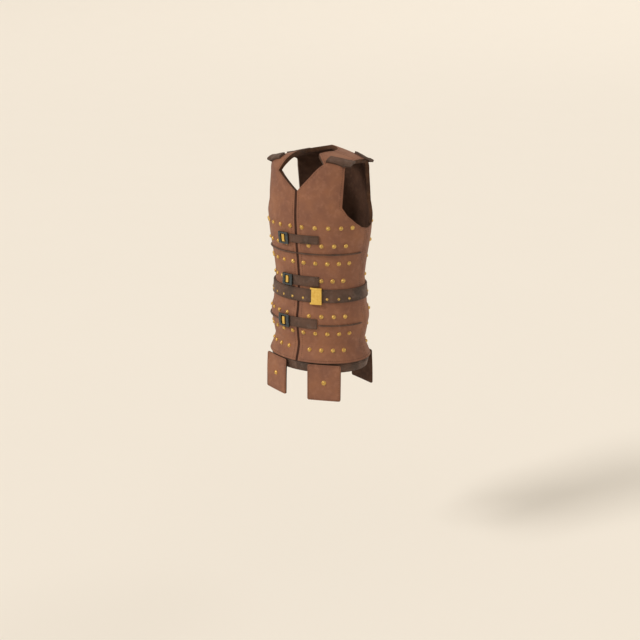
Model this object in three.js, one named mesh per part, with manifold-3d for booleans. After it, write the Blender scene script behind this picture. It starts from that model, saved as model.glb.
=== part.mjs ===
// Leather brigandine vest, worn form, hollow. Millimetres, +Z up, front towards -Y, wearer's left +X.
// The origin lies on the body axis, level with the underside of the shoulder straps.
import * as THREE from 'three';
import ManifoldModule from 'manifold-3d';

const wasm = await ManifoldModule();
wasm.setup();
const { Manifold, Mesh } = wasm;

// ---- driving sizes ----
const WALL = 8;             // leather cover, overlapped plates and backing together
const NECK_WALL = 13;       // the wall where it is padded, at the neck and shoulders
const PADDED = { from: -240, to: -130 };   // heights between which the wall thickens
const GAP = 0.3;            // clearance between neighbouring pieces
const LAY = 0.5;            // clearance under a piece that lies on the curved body
const DEPTH_RATIO = 0.792;  // body depth over body width, the same at every height
const OPENING = 8;          // distance between the two front edges
const HEM_Z = -656;         // lower edge of the body panels
const ARMPIT_Z = -217;      // lowest point of the armholes
const V_Z = -95;            // foot of the neck notch
const YOKE_Z = -49;         // where the shoulders start to turn in
const YOKE_POWER = 3.2;     // how square the turn over the shoulder is
const NECK_FRONT_X = 45;    // front corner of the neck
const NECK_SIDE_X = 52;     // side of the neck on the shoulder ridge
const STRAP_OUT_X = 140;    // armhole edge on the shoulder
const RIDGE_Z = 18;         // shoulder ridge at the side of the neck
const RIDGE_DROP = 0.25;    // fall of the ridge for each millimetre outwards
const BACK_NECK = 0.52;     // depth of the back neck, as a share of the yoke's depth
const CORNER_OVER = 58.9;   // front corner of the neck, degrees over the shoulder
// Corner of the neck notch on each front: distance out, degrees over the shoulder, and how far the
// neck edge above it swings in. The two fronts are cut by hand and differ a little.
const NOTCH = { left: { x: 83, over: 35, swing: 0 }, right: { x: 79, over: 9, swing: 1.2 } };
const PANEL_COLUMNS = 10;
const HEAD_SIDES = 5;

const STRAP_THICK = 5;
const BELT = { low: -454, high: -411, thick: 5, from: 24, to: 382, columns: 56 };
const BELT_PLATE = { from: 17.6, to: 29.6, low: -460, high: -405.5, thick: 6, lip: 5, lipFrom: 16 };
const WELT = { tall: 5, proud: 5, reach: 83, backReach: 55 };
const TASSET = { wide: 112, tall: 123, thick: 6, middle: -722, yaw: 20.9, tilt: 2.3, round: 6,
  aside: 44.8 };
const TAB = { from: 86, to: 157, wide: 30, thick: 7, columns: 6, rows: 3 };

// Half width of the body, z against half width.
const BODY = [
  [-720, 171], [-693, 178], [-664, 184], [-656, 181], [-644, 176], [-624, 167.5], [-599, 160.5],
  [-587, 163], [-542, 171], [-524, 174], [-499, 172], [-479, 166.5], [-444, 162], [-410, 159],
  [-381, 157.5], [-344, 161], [-313, 165.5], [-254, 175], [-214, 179], [-172, 181], [-108, 176],
  [-49, 170],
];
// Armhole edge, z against the angle from the centre front in degrees.
const ARMHOLE = [[-217, 89.9], [-211, 79], [-196, 69.5], [-170, 57.6], [-144, 51.06]];
const BODY_ROWS = [
  HEM_Z, -644, -629, -612, -598, -572, -542, -521, -495, -460, -428, -400, -380, -355, -320, -270,
  ARMPIT_Z, -211, -196, -170, -144, -120, V_Z, -72, YOKE_Z,
];
// Rows over the shoulder, degrees. Each front has one at its notch and one at the neck corner.
const YOKE_LEFT = [12, 24, NOTCH.left.over, 47, CORNER_OVER, 70, 80, 90];
const YOKE_RIGHT = [NOTCH.right.over, 20, 32, 45, CORNER_OVER, 70, 80, 90];
const YOKE_BACK = [16, 32, 48, 60, 61.2, 63, 68, 78, 90];

// Rows of rivets: height, whether the front's rivets stand on odd half steps from its centre, and
// the step left bare. The back's rows are half a step out from the front's.
const RIVET_STEP = 14.3;
const RIVETS = [
  { z: -208.8, odd: true }, { z: -267.2, odd: false }, { z: -325.9, odd: true },
  { z: -383.6, odd: false, skip: 1 }, { z: -499.4, odd: false }, { z: -558.5, odd: true },
  { z: -615.4, odd: false },
];
const RIVET = [[0, 5], [4.7, 3.4], [6, -1.5], [0, -1.5]];
const BELT_STUD = [[0, 2.4], [2.6, 1.7], [3.6, -1.2], [0, -1.2]];
const BELT_STUD_Z = -441.6;

// Closures at the front: strap and buckle frame heights, degrees across the front.
const CLOSURES = [
  { low: -260.6, high: -234, left: -21.9, right: 26, wide: 13.6, frameLow: -267.4, frameHigh: -229.4 },
  { low: -403, high: -370, left: -22.6, right: 26, wide: 15.2, frameLow: -407, frameHigh: -368 },
  { low: -541, high: -508, left: -24, right: 24, wide: 15.2, frameLow: -545.5, frameHigh: -505.5 },
];
const FRAME = { thick: 6, rim: 11.5, rimZ: 6.5, barWide: 11, barTall: 24 };

const LEATHER = { colour: 0x94644a, rough: 0.62, metal: 0 };
const DARK = { colour: 0x5f4a3e, rough: 0.6, metal: 0 };
const PLACKET = { colour: 0x3a1c0e, rough: 0.7, metal: 0 };
const BRASS = { colour: 0xd4af4e, rough: 0.35, metal: 1 };
const GUNMETAL = { colour: 0x3f4a4e, rough: 0.45, metal: 1 };

const part = new THREE.Group();
part.name = 'leather_brigandine_vest';

const rad = THREE.MathUtils.degToRad;
const mix = THREE.MathUtils.lerp;

// Smooth curve through a table of pairs.
function through(table, at) {
  let i = 0;
  while (i < table.length - 2 && at > table[i + 1][0]) i++;
  const slope = (j) => {
    const before = table[Math.max(j - 1, 0)];
    const after = table[Math.min(j + 1, table.length - 1)];
    return (after[1] - before[1]) / (after[0] - before[0]);
  };
  const [x0, y0] = table[i];
  const [x1, y1] = table[i + 1];
  const span = x1 - x0;
  const u = THREE.MathUtils.clamp((at - x0) / span, 0, 1);
  const bend = u * u * (3 - 2 * u);
  const start = u * (1 - u) * (1 - u) * span * slope(i);
  const end = u * u * (u - 1) * span * slope(i + 1);
  return mix(y0, y1, bend) + start + end;
}

// ---- the body surface ----
// Point on the body at an angle from the centre front and a height.
function onBody(angle, z) {
  const half = through(BODY, z);
  const t = rad(angle);
  return new THREE.Vector3(half * Math.sin(t), -DEPTH_RATIO * half * Math.cos(t), z);
}

// Point on the shoulder: distance out, angle over the shoulder, and side, -1 front or 1 back.
function onYoke(x, over, side) {
  const half = through(BODY, YOKE_Z);
  const deep = DEPTH_RATIO * Math.sqrt(Math.max(half * half - x * x, 1));
  const [c, s] = yokeShare(over);
  const ridge = RIDGE_Z - RIDGE_DROP * (x - NECK_SIDE_X);
  return new THREE.Vector3(x, side * deep * c, YOKE_Z + (ridge - YOKE_Z) * s);
}

// How far forward and how high the turn over the shoulder is, each from 0 to 1.
function yokeShare(over) {
  const c = Math.cos(rad(over));
  const s = Math.sin(rad(over));
  const size = (c ** YOKE_POWER + s ** YOKE_POWER) ** (-1 / YOKE_POWER);
  return [c * size, s * size];
}

// Outward normal of a surface given as a function of two values.
function normalOf(surface, u, v, flip) {
  const step = 0.05;
  const across = surface(u + step, v).sub(surface(u - step, v));
  const along = surface(u, v + step).sub(surface(u, v - step));
  const normal = across.cross(along).normalize();
  return flip ? normal.negate() : normal;
}

function bodyAt(angle, z) {
  return { p: onBody(angle, z), n: normalOf(onBody, angle, z, false) };
}

function yokeAt(x, over, side) {
  const surface = (u, v) => onYoke(u, Math.min(v, 90), side);
  const v = Math.min(over, 89.9);
  const n = normalOf(surface, x, v, side > 0);
  if (over > 89) n.setY(0).normalize();
  return { p: onYoke(x, over, side), n };
}

const lift = ({ p, n }, by) => p.clone().addScaledVector(n, by);

// Thickness of the wall at a height.
function wallAt(z) {
  return mix(WALL, NECK_WALL, THREE.MathUtils.smoothstep(z, PADDED.from, PADDED.to));
}

// ---- closed bodies ----
// Closed slab from grids of points of one size, the first inside and the last outside.
function slab(layers) {
  const rows = layers[0].length;
  const columns = layers[0][0].length;
  const points = layers.flat(2);
  const id = (layer, r, c) => (layer * rows + r) * columns + c;
  const faces = [];
  const quad = (a, b, c, d) => faces.push(a, b, c, a, c, d);
  const last = layers.length - 1;
  for (let r = 0; r < rows - 1; r++) {
    for (let c = 0; c < columns - 1; c++) {
      quad(id(last, r, c), id(last, r, c + 1), id(last, r + 1, c + 1), id(last, r + 1, c));
      quad(id(0, r, c), id(0, r + 1, c), id(0, r + 1, c + 1), id(0, r, c + 1));
    }
  }
  const rim = [];
  for (let c = 0; c < columns - 1; c++) rim.push([0, c]);
  for (let r = 0; r < rows - 1; r++) rim.push([r, columns - 1]);
  for (let c = columns - 1; c > 0; c--) rim.push([rows - 1, c]);
  for (let r = rows - 1; r > 0; r--) rim.push([r, 0]);
  for (let layer = 0; layer < last; layer++) {
    rim.forEach(([r, c], i) => {
      const [r2, c2] = rim[(i + 1) % rim.length];
      quad(id(layer, r, c), id(layer, r2, c2), id(layer + 1, r2, c2), id(layer + 1, r, c));
    });
  }
  return solid(points, faces);
}

function solid(points, faces) {
  const body = new Manifold(new Mesh({
    numProp: 3,
    vertProperties: new Float32Array(points.flatMap((p) => [p.x, p.y, p.z])),
    triVerts: new Uint32Array(faces),
  }));
  if (body.volume() > 0) return body;
  const turned = [];
  for (let i = 0; i < faces.length; i += 3) turned.push(faces[i], faces[i + 2], faces[i + 1]);
  return new Manifold(new Mesh({
    numProp: 3,
    vertProperties: new Float32Array(points.flatMap((p) => [p.x, p.y, p.z])),
    triVerts: new Uint32Array(turned),
  }));
}

function fromGeometry(geometry) {
  const at = geometry.attributes.position;
  const points = [];
  for (let i = 0; i < at.count; i++) points.push(new THREE.Vector3().fromBufferAttribute(at, i));
  const seen = new Map();
  const kept = [];
  const index = points.map((p) => {
    const key = [p.x, p.y, p.z].map((v) => Math.round(v * 1e4)).join();
    if (!seen.has(key)) seen.set(key, kept.push(p) - 1);
    return seen.get(key);
  });
  const order = geometry.index ? [...geometry.index.array] : points.map((_, i) => i);
  const faces = [];
  for (let i = 0; i < order.length; i += 3) {
    const [a, b, c] = [index[order[i]], index[order[i + 1]], index[order[i + 2]]];
    if (a !== b && b !== c && a !== c) faces.push(a, b, c);
  }
  return solid(kept, faces);
}

function add(name, body, look) {
  const mesh = body.getMesh();
  const geometry = new THREE.BufferGeometry();
  const places = [];
  for (const v of mesh.triVerts) {
    for (let k = 0; k < 3; k++) places.push(mesh.vertProperties[v * mesh.numProp + k]);
  }
  geometry.setAttribute('position', new THREE.Float32BufferAttribute(places, 3));
  geometry.computeVertexNormals();
  const material = new THREE.MeshStandardMaterial({
    color: look.colour, roughness: look.rough, metalness: look.metal,
  });
  const node = new THREE.Mesh(geometry, material);
  node.name = name;
  part.add(node);
}

const mirrorX = (body) => body.mirror([1, 0, 0]);
const mirrorY = (body) => body.mirror([0, 1, 0]);

// Round head turned from a profile, on a seat with its axis along the seat's normal.
function head(profile, seat, above = 0) {
  const points = profile.map(([r, z]) => new THREE.Vector2(r, z));
  const turned = new THREE.LatheGeometry(points.concat(points[0]), HEAD_SIDES);
  turned.rotateX(Math.PI / 2);
  const turn = new THREE.Quaternion().setFromUnitVectors(new THREE.Vector3(0, 0, 1), seat.n);
  turned.applyQuaternion(turn);
  const place = lift(seat, above);
  turned.translate(place.x, place.y, place.z);
  return fromGeometry(turned);
}

// ---- body panels ----
// Outer edge of a panel below the shoulder, degrees.
function sideAngle(z) {
  const clear = THREE.MathUtils.radToDeg(GAP / 2 / (DEPTH_RATIO * through(BODY, z)));
  if (z <= ARMPIT_Z) return 90 - clear / DEPTH_RATIO;
  if (z < ARMHOLE.at(-1)[0]) {
    const i = ARMHOLE.findIndex(([at]) => at > z);
    const [[z0, t0], [z1, t1]] = [ARMHOLE[i - 1], ARMHOLE[i]];
    return Math.min(mix(t0, t1, (z - z0) / (z1 - z0)), 90 - clear);
  }
  return THREE.MathUtils.radToDeg(Math.asin(STRAP_OUT_X / through(BODY, z)));
}

// Inner edge of a front panel below the shoulder, distance from the centre.
function frontEdge(z, notch) {
  if (z <= V_Z) return OPENING / 2;
  const notchZ = onYoke(notch.x, notch.over, -1).z;
  return mix(OPENING / 2, notch.x, (z - V_Z) / (notchZ - V_Z));
}

// Inner edge of a front panel on the shoulder: up to the notch, in to the corner, out to the side.
function frontNeck(over, notch) {
  const [c, s] = yokeShare(over);
  const [notchC, notchS] = yokeShare(notch.over);
  const [cornerC, cornerS] = yokeShare(CORNER_OVER);
  if (over <= notch.over) return mix(frontEdge(YOKE_Z, notch), notch.x, s / notchS);
  if (over >= CORNER_OVER) return mix(NECK_SIDE_X, NECK_FRONT_X, c / cornerC);
  const back = (notchC - c) / (notchC - cornerC);
  const up = (s - notchS) / (cornerS - notchS);
  return mix(notch.x, NECK_FRONT_X, mix(back, up, notch.swing));
}

function backNeck(over) {
  const [c] = yokeShare(over);
  if (c >= BACK_NECK) return 0;
  return NECK_SIDE_X * Math.sqrt(1 - (c / BACK_NECK) ** 2);
}

// One half of the front or back, on the wearer's left: a front has a notch, the back has none.
function halfPanel(yokeRows, notch) {
  const rows = [];
  for (const z of BODY_ROWS) {
    const half = through(BODY, z);
    const inner = notch ? THREE.MathUtils.radToDeg(Math.asin(frontEdge(z, notch) / half)) : -0.05;
    const row = [];
    for (let i = 0; i <= PANEL_COLUMNS; i++) {
      const angle = mix(inner, sideAngle(z), i / PANEL_COLUMNS);
      row.push(bodyAt(notch ? angle : 180 - angle, z));
    }
    rows.push(row);
  }
  const side = notch ? -1 : 1;
  for (const over of yokeRows) {
    const inner = notch ? frontNeck(over, notch) : backNeck(over) - 0.1;
    const row = [];
    for (let i = 0; i <= PANEL_COLUMNS; i++) {
      const seat = yokeAt(mix(inner, STRAP_OUT_X, i / PANEL_COLUMNS), over, side);
      if (over === 90) seat.p.y = side * GAP / 2;
      row.push(seat);
    }
    rows.push(row);
  }
  const inside = rows.map((row) => row.map((seat) => lift(seat, -wallAt(seat.p.z))));
  const outside = rows.map((row) => row.map((seat) => seat.p));
  return slab([inside, outside]);
}

// Rivet heads that stand on one half, front or back. The left back has those on the centre line.
function rivetHeads(front, left) {
  const heads = [];
  for (const row of RIVETS) {
    const odd = row.odd === front;
    const count = odd ? 5 : 4;
    if (!front && left && !odd) heads.push(head(RIVET, bodyAt(180, row.z)));
    for (let i = 0; i < count; i++) {
      const step = odd ? i + 0.5 : i + 1;
      if (front && row.skip === step) continue;
      const angle = step * RIVET_STEP * (left ? 1 : -1);
      heads.push(head(RIVET, bodyAt(front ? angle : 180 - angle, row.z)));
    }
  }
  return heads;
}

const leftPanel = halfPanel(YOKE_LEFT, NOTCH.left);
const rightPanel = mirrorX(halfPanel(YOKE_RIGHT, NOTCH.right));
const backHalf = halfPanel(YOKE_BACK);
add('front_left', Manifold.union([leftPanel, ...rivetHeads(true, true)]), LEATHER);
add('front_right', Manifold.union([rightPanel, ...rivetHeads(true, false)]), LEATHER);
const backHeads = [...rivetHeads(false, true), ...rivetHeads(false, false)];
add('back', Manifold.union([backHalf, mirrorX(backHalf), ...backHeads]), LEATHER);

// ---- pieces laid on the body ----
// Slab on the body between two angles and two heights, its outer edge taken back by `soft`.
function laid({ from, to, low, high, above, thick, columns, rows = 1, soft = 1 }) {
  const layer = (by, inset) => {
    const grid = [];
    for (let r = 0; r <= rows; r++) {
      const z = mix(low + inset, high - inset, r / rows);
      const turn = THREE.MathUtils.radToDeg(inset / through(BODY, z));
      const row = [];
      for (let c = 0; c <= columns; c++) {
        row.push(lift(bodyAt(mix(from + turn, to - turn, c / columns), z), by));
      }
      grid.push(row);
    }
    return grid;
  };
  const top = above + thick;
  const layers = [layer(above, 0), layer(top - soft, 0), layer(top, soft)];
  return slab(soft > 0 ? layers : [layers[0], layers[1]]);
}

// Raised welts that hide the plate edges, above and below the waist.
const WELTS = [
  { name: 'upper', z: -295, front: 0.15 },
  { name: 'lower', z: -528.5, front: 25.2 },
];
for (const welt of WELTS) {
  const low = welt.z - WELT.tall / 2;
  const high = welt.z + WELT.tall / 2;
  const shape = { low, high, above: LAY, thick: WELT.proud, soft: 1.2 };
  const columns = Math.round((WELT.reach - welt.front) / 8);
  const left = laid({ ...shape, from: welt.front, to: WELT.reach, columns });
  const right = laid({ ...shape, from: -WELT.reach, to: -welt.front - (welt.front > 1), columns });
  add(`welt_${welt.name}_left`, left, DARK);
  add(`welt_${welt.name}_right`, right, DARK);
  const [from, to] = [180 - WELT.backReach, 180 + WELT.backReach];
  const back = laid({ ...shape, from, to, columns: 14 });
  add(`welt_${welt.name}_back`, back, DARK);
}

// Placket: a rib between the front edges on a base behind them.
const RIB_HALF = OPENING / 2 - GAP;
const BASE_Z = -635;        // the base ends above the hem band
const degreesAt = (width, z) => THREE.MathUtils.radToDeg(width / through(BODY, z));
function placketPart(half, bottom, top, from, to) {
  const heights = [bottom, ...BODY_ROWS.filter((z) => z > bottom + 1 && z < top - 1), top];
  const layer = (by) => heights.map((z) => {
    const turn = degreesAt(half, z);
    return [-turn, turn].map((angle) => lift(bodyAt(angle, z), by(z)));
  });
  return slab([layer(from), layer(to)]);
}
const behind = (z) => -wallAt(z) - 2 * GAP;
const ribTop = () => -2 * GAP;
const base = placketPart(14, BASE_Z, V_Z - 1, (z) => behind(z) - 2, behind);
const rib = placketPart(RIB_HALF, BASE_Z, V_Z - 1, (z) => behind(z) - 1, ribTop);
const ribFoot = placketPart(RIB_HALF, HEM_Z, BASE_Z + 4, () => 0.5 - WALL, ribTop);
add('front_placket', Manifold.union([base, rib, ribFoot]), PLACKET);

// Belt: one strip round the waist, both ends under its plate.
const beltBody = laid({ ...BELT, above: LAY, soft: 1.2 });
const studs = [];
for (let face = 0; face < 2; face++) {
  for (let i = 0; i < 10; i++) {
    const angle = face * 180 + (i - 4.5) * RIVET_STEP;
    if (Math.abs(angle - 1.5 * RIVET_STEP) < 1) continue;
    studs.push(head(BELT_STUD, bodyAt(angle, BELT_STUD_Z), LAY + BELT.thick));
  }
}
add('belt', Manifold.union([beltBody, ...studs]), DARK);

const over = LAY + BELT.thick + LAY;
const plateFace = laid({ ...BELT_PLATE, above: over, columns: 4, rows: 2, soft: 1.2 });
const lips = [[BELT_PLATE.low, BELT.low - GAP], [BELT.high + GAP, BELT_PLATE.high]];
const plateLips = lips.map(([low, high]) => laid({
  from: BELT_PLATE.lipFrom, to: BELT_PLATE.to, low, high, above: 1, thick: over + 3, columns: 4,
  soft: 0.8,
}));
add('belt_plate', Manifold.union([plateFace, ...plateLips]), BRASS);

// Closures: strap across the front, buckle frame on its end, and the bar plate in the frame.
CLOSURES.forEach((c, i) => {
  const strap = laid({
    from: c.left - 1.2, to: c.right, low: c.low, high: c.high, above: LAY, thick: STRAP_THICK,
    columns: 12, rows: 2, soft: 1.2,
  });
  add(`closure_strap_${i + 1}`, strap, DARK);
  const onStrap = LAY + STRAP_THICK + LAY;
  const frame = {
    from: c.left, to: c.left + c.wide, low: c.frameLow, high: c.frameHigh, above: onStrap,
    thick: FRAME.thick, columns: 3, rows: 2, soft: 1.2,
  };
  const rim = degreesAt(FRAME.rim, c.low);
  const hole = {
    from: frame.from + rim, to: frame.to - rim, low: c.frameLow + FRAME.rimZ,
    high: c.frameHigh - FRAME.rimZ, above: onStrap - 2, thick: FRAME.thick + 4, columns: 3, soft: 0,
  };
  add(`closure_frame_${i + 1}`, laid(frame).subtract(laid(hole)), GUNMETAL);
  const middle = (frame.from + frame.to) / 2;
  const wide = degreesAt(FRAME.barWide / 2, c.low);
  const height = (c.frameLow + c.frameHigh) / 2;
  const bar = laid({
    from: middle - wide, to: middle + wide, low: height - FRAME.barTall / 2,
    high: height + FRAME.barTall / 2, above: onStrap, thick: FRAME.thick - 0.5, columns: 2, rows: 2,
    soft: 0.8,
  });
  add(`closure_bar_${i + 1}`, bar, BRASS);
});

// Hem band: inside the hem at its top, showing below it.
function hemBand(from, to, columns) {
  const rows = [-693, -664, -656.6, -644, -636];
  const layer = (by) => rows.map((z) => {
    const row = [];
    for (let c = 0; c <= columns; c++) row.push(lift(bodyAt(mix(from, to, c / columns), z), by));
    return row;
  });
  return slab([layer(-WALL - LAY - 4), layer(-WALL - LAY)]);
}
add('hem_band_left', hemBand(0.1, 89.92, PANEL_COLUMNS), DARK);
add('hem_band_right', hemBand(-89.92, -0.1, PANEL_COLUMNS), DARK);
add('hem_band_back', hemBand(90.08, 269.92, 2 * PANEL_COLUMNS), DARK);

// ---- tassets ----
// Flat plate with rounded corners, its inner face against the hem band near its top.
function tassetShape(inset) {
  const w = TASSET.wide / 2 - inset;
  const h = TASSET.tall / 2 - inset;
  const r = TASSET.round - inset;
  const ring = [];
  for (const [sx, sy, start] of [[1, 1, 0], [-1, 1, 90], [-1, -1, 180], [1, -1, 270]]) {
    for (let i = 0; i <= 2; i++) {
      const a = rad(start + 45 * i);
      ring.push([sx * (w - r) + r * Math.cos(a), sy * (h - r) + r * Math.sin(a)]);
    }
  }
  return ring;
}

function tassetPlace() {
  const yaw = rad(TASSET.yaw);
  const tilt = rad(TASSET.tilt);
  const across = new THREE.Vector3(Math.cos(yaw), Math.sin(yaw), 0);
  const flat = new THREE.Vector3(Math.sin(yaw), -Math.cos(yaw), 0);
  const up = new THREE.Vector3(0, 0, Math.cos(tilt)).addScaledVector(flat, -Math.sin(tilt));
  const out = across.clone().cross(up).normalize();
  // The farthest point of the hem band along the plate's normal sets the distance.
  let reach = -Infinity;
  for (let angle = 5; angle < 70; angle += 0.25) {
    for (const z of [-693, -678, -664, -656.6]) {
      const p = lift(bodyAt(angle, z), -WALL - LAY);
      if (z < TASSET.middle + TASSET.tall / 2) reach = Math.max(reach, p.dot(out));
    }
  }
  const heightOut = TASSET.middle * out.z;
  const away = (reach + GAP + TASSET.thick / 2 - heightOut) / out.dot(flat);
  const centre = flat.clone().multiplyScalar(away).addScaledVector(across, TASSET.aside);
  centre.z = TASSET.middle;
  return { centre, across, up, out };
}
const hang = tassetPlace();
function tassetPoint([u, v], by) {
  return hang.centre.clone().addScaledVector(hang.across, u).addScaledVector(hang.up, v)
    .addScaledVector(hang.out, by);
}
function tasset() {
  const half = TASSET.thick / 2;
  const layers = [[1.5, -half], [0, -half + 1.5], [0, half - 1.5], [1.5, half]];
  const rings = layers.map(([inset, by]) => tassetShape(inset).map((at) => tassetPoint(at, by)));
  const count = rings[0].length;
  const faces = [];
  for (let layer = 0; layer < rings.length - 1; layer++) {
    for (let i = 0; i < count; i++) {
      const j = (i + 1) % count;
      const [a, b] = [layer * count + i, layer * count + j];
      faces.push(a, b, b + count, a, b + count, a + count);
    }
  }
  const top = (rings.length - 1) * count;
  for (let i = 1; i < count - 1; i++) faces.push(0, i + 1, i, top, top + i, top + i + 1);
  return solid(rings.flat(), faces);
}
const tassetBody = tasset();
const studSeat = { p: tassetPoint([0, 0], TASSET.thick / 2 + GAP), n: hang.out };
const TASSET_STUD = [[0, 5.4], [4.2, 4.4], [6.8, 1], [6.8, 0], [0, 0]];
const studBody = head(TASSET_STUD, studSeat);
const PLACES = [
  ['front_left', (b) => b],
  ['front_right', mirrorX],
  ['back_left', mirrorY],
  ['back_right', (b) => mirrorX(mirrorY(b))],
];
for (const [name, put] of PLACES) {
  add(`tasset_${name}`, put(tassetBody), LEATHER);
  add(`tasset_stud_${name}`, put(studBody), BRASS);
}

// ---- shoulder tabs ----
// Height of the shoulder above a point; past the armhole edge its line runs on.
const TAB_LINE = [[80, 89], [141, 60], [166, 52]];
function shoulderAt(x, y) {
  const half = through(BODY, YOKE_Z);
  const hold = Math.min(x, STRAP_OUT_X - 4);
  const deep = DEPTH_RATIO * Math.sqrt(half * half - hold * hold);
  const share = Math.min(Math.abs(y) / deep, 0.99);
  const ridge = RIDGE_Z - RIDGE_DROP * (x - NECK_SIDE_X);
  const s = (1 - share ** YOKE_POWER) ** (1 / YOKE_POWER);
  return new THREE.Vector3(x, y, YOKE_Z + (ridge - YOKE_Z) * s);
}
function shoulderTab() {
  const layer = (by, inset) => {
    const grid = [];
    for (let r = 0; r <= TAB.rows; r++) {
      const row = [];
      for (let c = 0; c <= TAB.columns; c++) {
        const x = mix(TAB.from + inset, TAB.to - inset, c / TAB.columns);
        const i = x < TAB_LINE[1][0] ? 0 : 1;
        const [[x0, y0], [x1, y1]] = [TAB_LINE[i], TAB_LINE[i + 1]];
        const middle = -mix(y0, y1, (x - x0) / (x1 - x0));
        const rise = shoulderAt(x, middle + 0.5).z - shoulderAt(x, middle - 0.5).z;
        const reach = (TAB.wide / 2 - inset) / Math.hypot(1, rise);
        const y = middle + mix(-reach, reach, r / TAB.rows);
        const seat = { p: shoulderAt(x, y), n: normalOf(shoulderAt, x, y, false) };
        row.push(lift(seat, by));
      }
      grid.push(row);
    }
    return grid;
  };
  const top = LAY + TAB.thick;
  return slab([layer(LAY, 0), layer(top - 1.2, 0), layer(top, 1.2)]);
}
const tabBody = shoulderTab();
for (const [name, put] of PLACES) add(`shoulder_tab_${name}`, put(tabBody), DARK);

export default part;
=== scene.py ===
"""Leather brigandine vest: leather, rivets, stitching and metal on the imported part."""
import math

import bpy
from mathutils import Matrix, Vector, kdtree


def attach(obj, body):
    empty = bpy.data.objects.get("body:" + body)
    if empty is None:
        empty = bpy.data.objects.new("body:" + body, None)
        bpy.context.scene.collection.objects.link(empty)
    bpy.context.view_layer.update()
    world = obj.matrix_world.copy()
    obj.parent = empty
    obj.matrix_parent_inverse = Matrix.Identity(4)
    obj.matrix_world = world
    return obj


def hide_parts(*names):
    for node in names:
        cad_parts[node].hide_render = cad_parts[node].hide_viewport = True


bl_info = {
    "name": "Leather Brigandine Vest",
    "version": (1, 0, 0),
    "blender": (4, 5, 0),
    "location": "View3D > Sidebar > Vest",
    "description": "Builds the leather, rivets, stitching and stage of a brigandine vest",
    "category": "Add Mesh",
}

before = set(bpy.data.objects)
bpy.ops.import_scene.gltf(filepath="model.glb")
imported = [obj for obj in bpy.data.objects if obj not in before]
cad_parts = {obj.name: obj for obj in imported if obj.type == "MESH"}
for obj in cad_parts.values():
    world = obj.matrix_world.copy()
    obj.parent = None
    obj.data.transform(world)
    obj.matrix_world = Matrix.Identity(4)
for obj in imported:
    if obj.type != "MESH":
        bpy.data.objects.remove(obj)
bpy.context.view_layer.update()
MM = 0.001

# ---- sizes shared with the part, millimetres and degrees ----
WALL = 8.0
NECK_WALL = 13.0
PADDED = (-240.0, -130.0)
GAP = 0.3
LAY = 0.5
DEPTH_RATIO = 0.792
OPENING = 8.0
HEM_Z = -656.0
ARMPIT_Z = -217.0
V_Z = -95.0
YOKE_Z = -49.0
YOKE_POWER = 3.2
CORNER_OVER = 58.9
# Notch corner on each front: distance out, degrees over the shoulder, swing of the edge above.
NOTCH = {1: (83.0, 35.0, 0.0), -1: (79.0, 9.0, 1.2)}
NECK_FRONT_X = 45.0
NECK_SIDE_X = 52.0
STRAP_OUT_X = 140.0
RIDGE_Z = 18.0
RIDGE_DROP = 0.25
BACK_NECK = 0.52
STRAP_THICK = 5.0
SEAM_INSET = 6.0

# Half width of the body, height against half width.
BODY = [
    (-720, 171), (-693, 178), (-664, 184), (-656, 181), (-644, 176), (-624, 167.5), (-599, 160.5),
    (-587, 163), (-542, 171), (-524, 174), (-499, 172), (-479, 166.5), (-444, 162), (-410, 159),
    (-381, 157.5), (-344, 161), (-313, 165.5), (-254, 175), (-214, 179), (-172, 181), (-108, 176),
    (-49, 170),
]
ARMHOLE = [(-217, 89.9), (-211, 79), (-196, 69.5), (-170, 57.6), (-144, 51.06)]

# Rivet rows: height, whether the front's rivets stand on half steps, and the step left bare.
# The back's rows are half a step out from the front's.
RIVET_STEP = 14.3
RIVET_ROWS = [
    (-208.8, True, None), (-267.2, False, None), (-325.9, True, None), (-383.6, False, 1),
    (-499.4, False, None), (-558.5, True, None), (-615.4, False, None),
]
BELT = dict(start=24, end=382, low=-454, high=-411, middle=-432)
BELT_STUD_Z = -441.6
BELT_PLATE = dict(start=17.6, end=29.6, low=-460, high=-405.5)
PLATE_LIP_START = 16
# Closures: strap low and high, left and right degrees, frame width in degrees, low and high.
CLOSURES = [
    (-260.6, -234, -21.9, 26, 13.6, -267.4, -229.4),
    (-403, -370, -22.6, 26, 15.2, -407, -368),
    (-541, -508, -24, 24, 15.2, -545.5, -505.5),
]
FRAME_THICK = 6.0
FRAME_RIM = 11.5
FRAME_RIM_Z = 6.5
BAR_WIDE = 11.0
BAR_TALL = 24.0
WELTS = [("upper", -295, 0.15), ("lower", -528.5, 25.2)]
WELT_REACH = 83
WELT_BACK_REACH = 55
# Degrees that a closure strap runs on past its frame.
STRAP_TAIL = 1.2
# The belt's width along the sloping waist, and the places for a stud on each half of it.
BELT_CUT_WIDE = 43.2
BELT_STUDS = 10
# Placket: half width, lower end and thickness of its base, then how deep and how round the rib
# lies, the width of both as one flat T strip, and the rib's part of its area in m2.
PLACKET = dict(half=14, low=-635, thick=2, rib=-0.6, crown=0.35, flat=50, rib_area=0.012)
# Welts: half height, foot and rise of the roll, and how its size grows from the ends in.
WELT = dict(half=2.5, foot=0.2, rise=4.6, end=0.55, grow=0.45, steps=3, sides=9)
HEM_BAND = dict(thick=4, tall=59, levels=[-693, -678, -664, -656.6, -644, -636])
HEM_BAND_ENDS = [("left", 0.1, 89.92), ("right", -89.92, -0.1), ("back", 90.08, 269.92)]
# Radius and height of the studs on the tassets and on the belt.
STUD = (6.8, 5.4)
BELT_STUD = (3.6, 2.4)
# Every head has a thin foot, a tenth wider, and differs a little in size.
HEAD_SEGMENTS = 16
HEAD_RINGS = 10
HEAD_SEED = 7
HEAD_SPREAD = (0.96, 1.04)
FOOT_THICK = 1.6
FOOT_WIDER = 1.1
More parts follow.
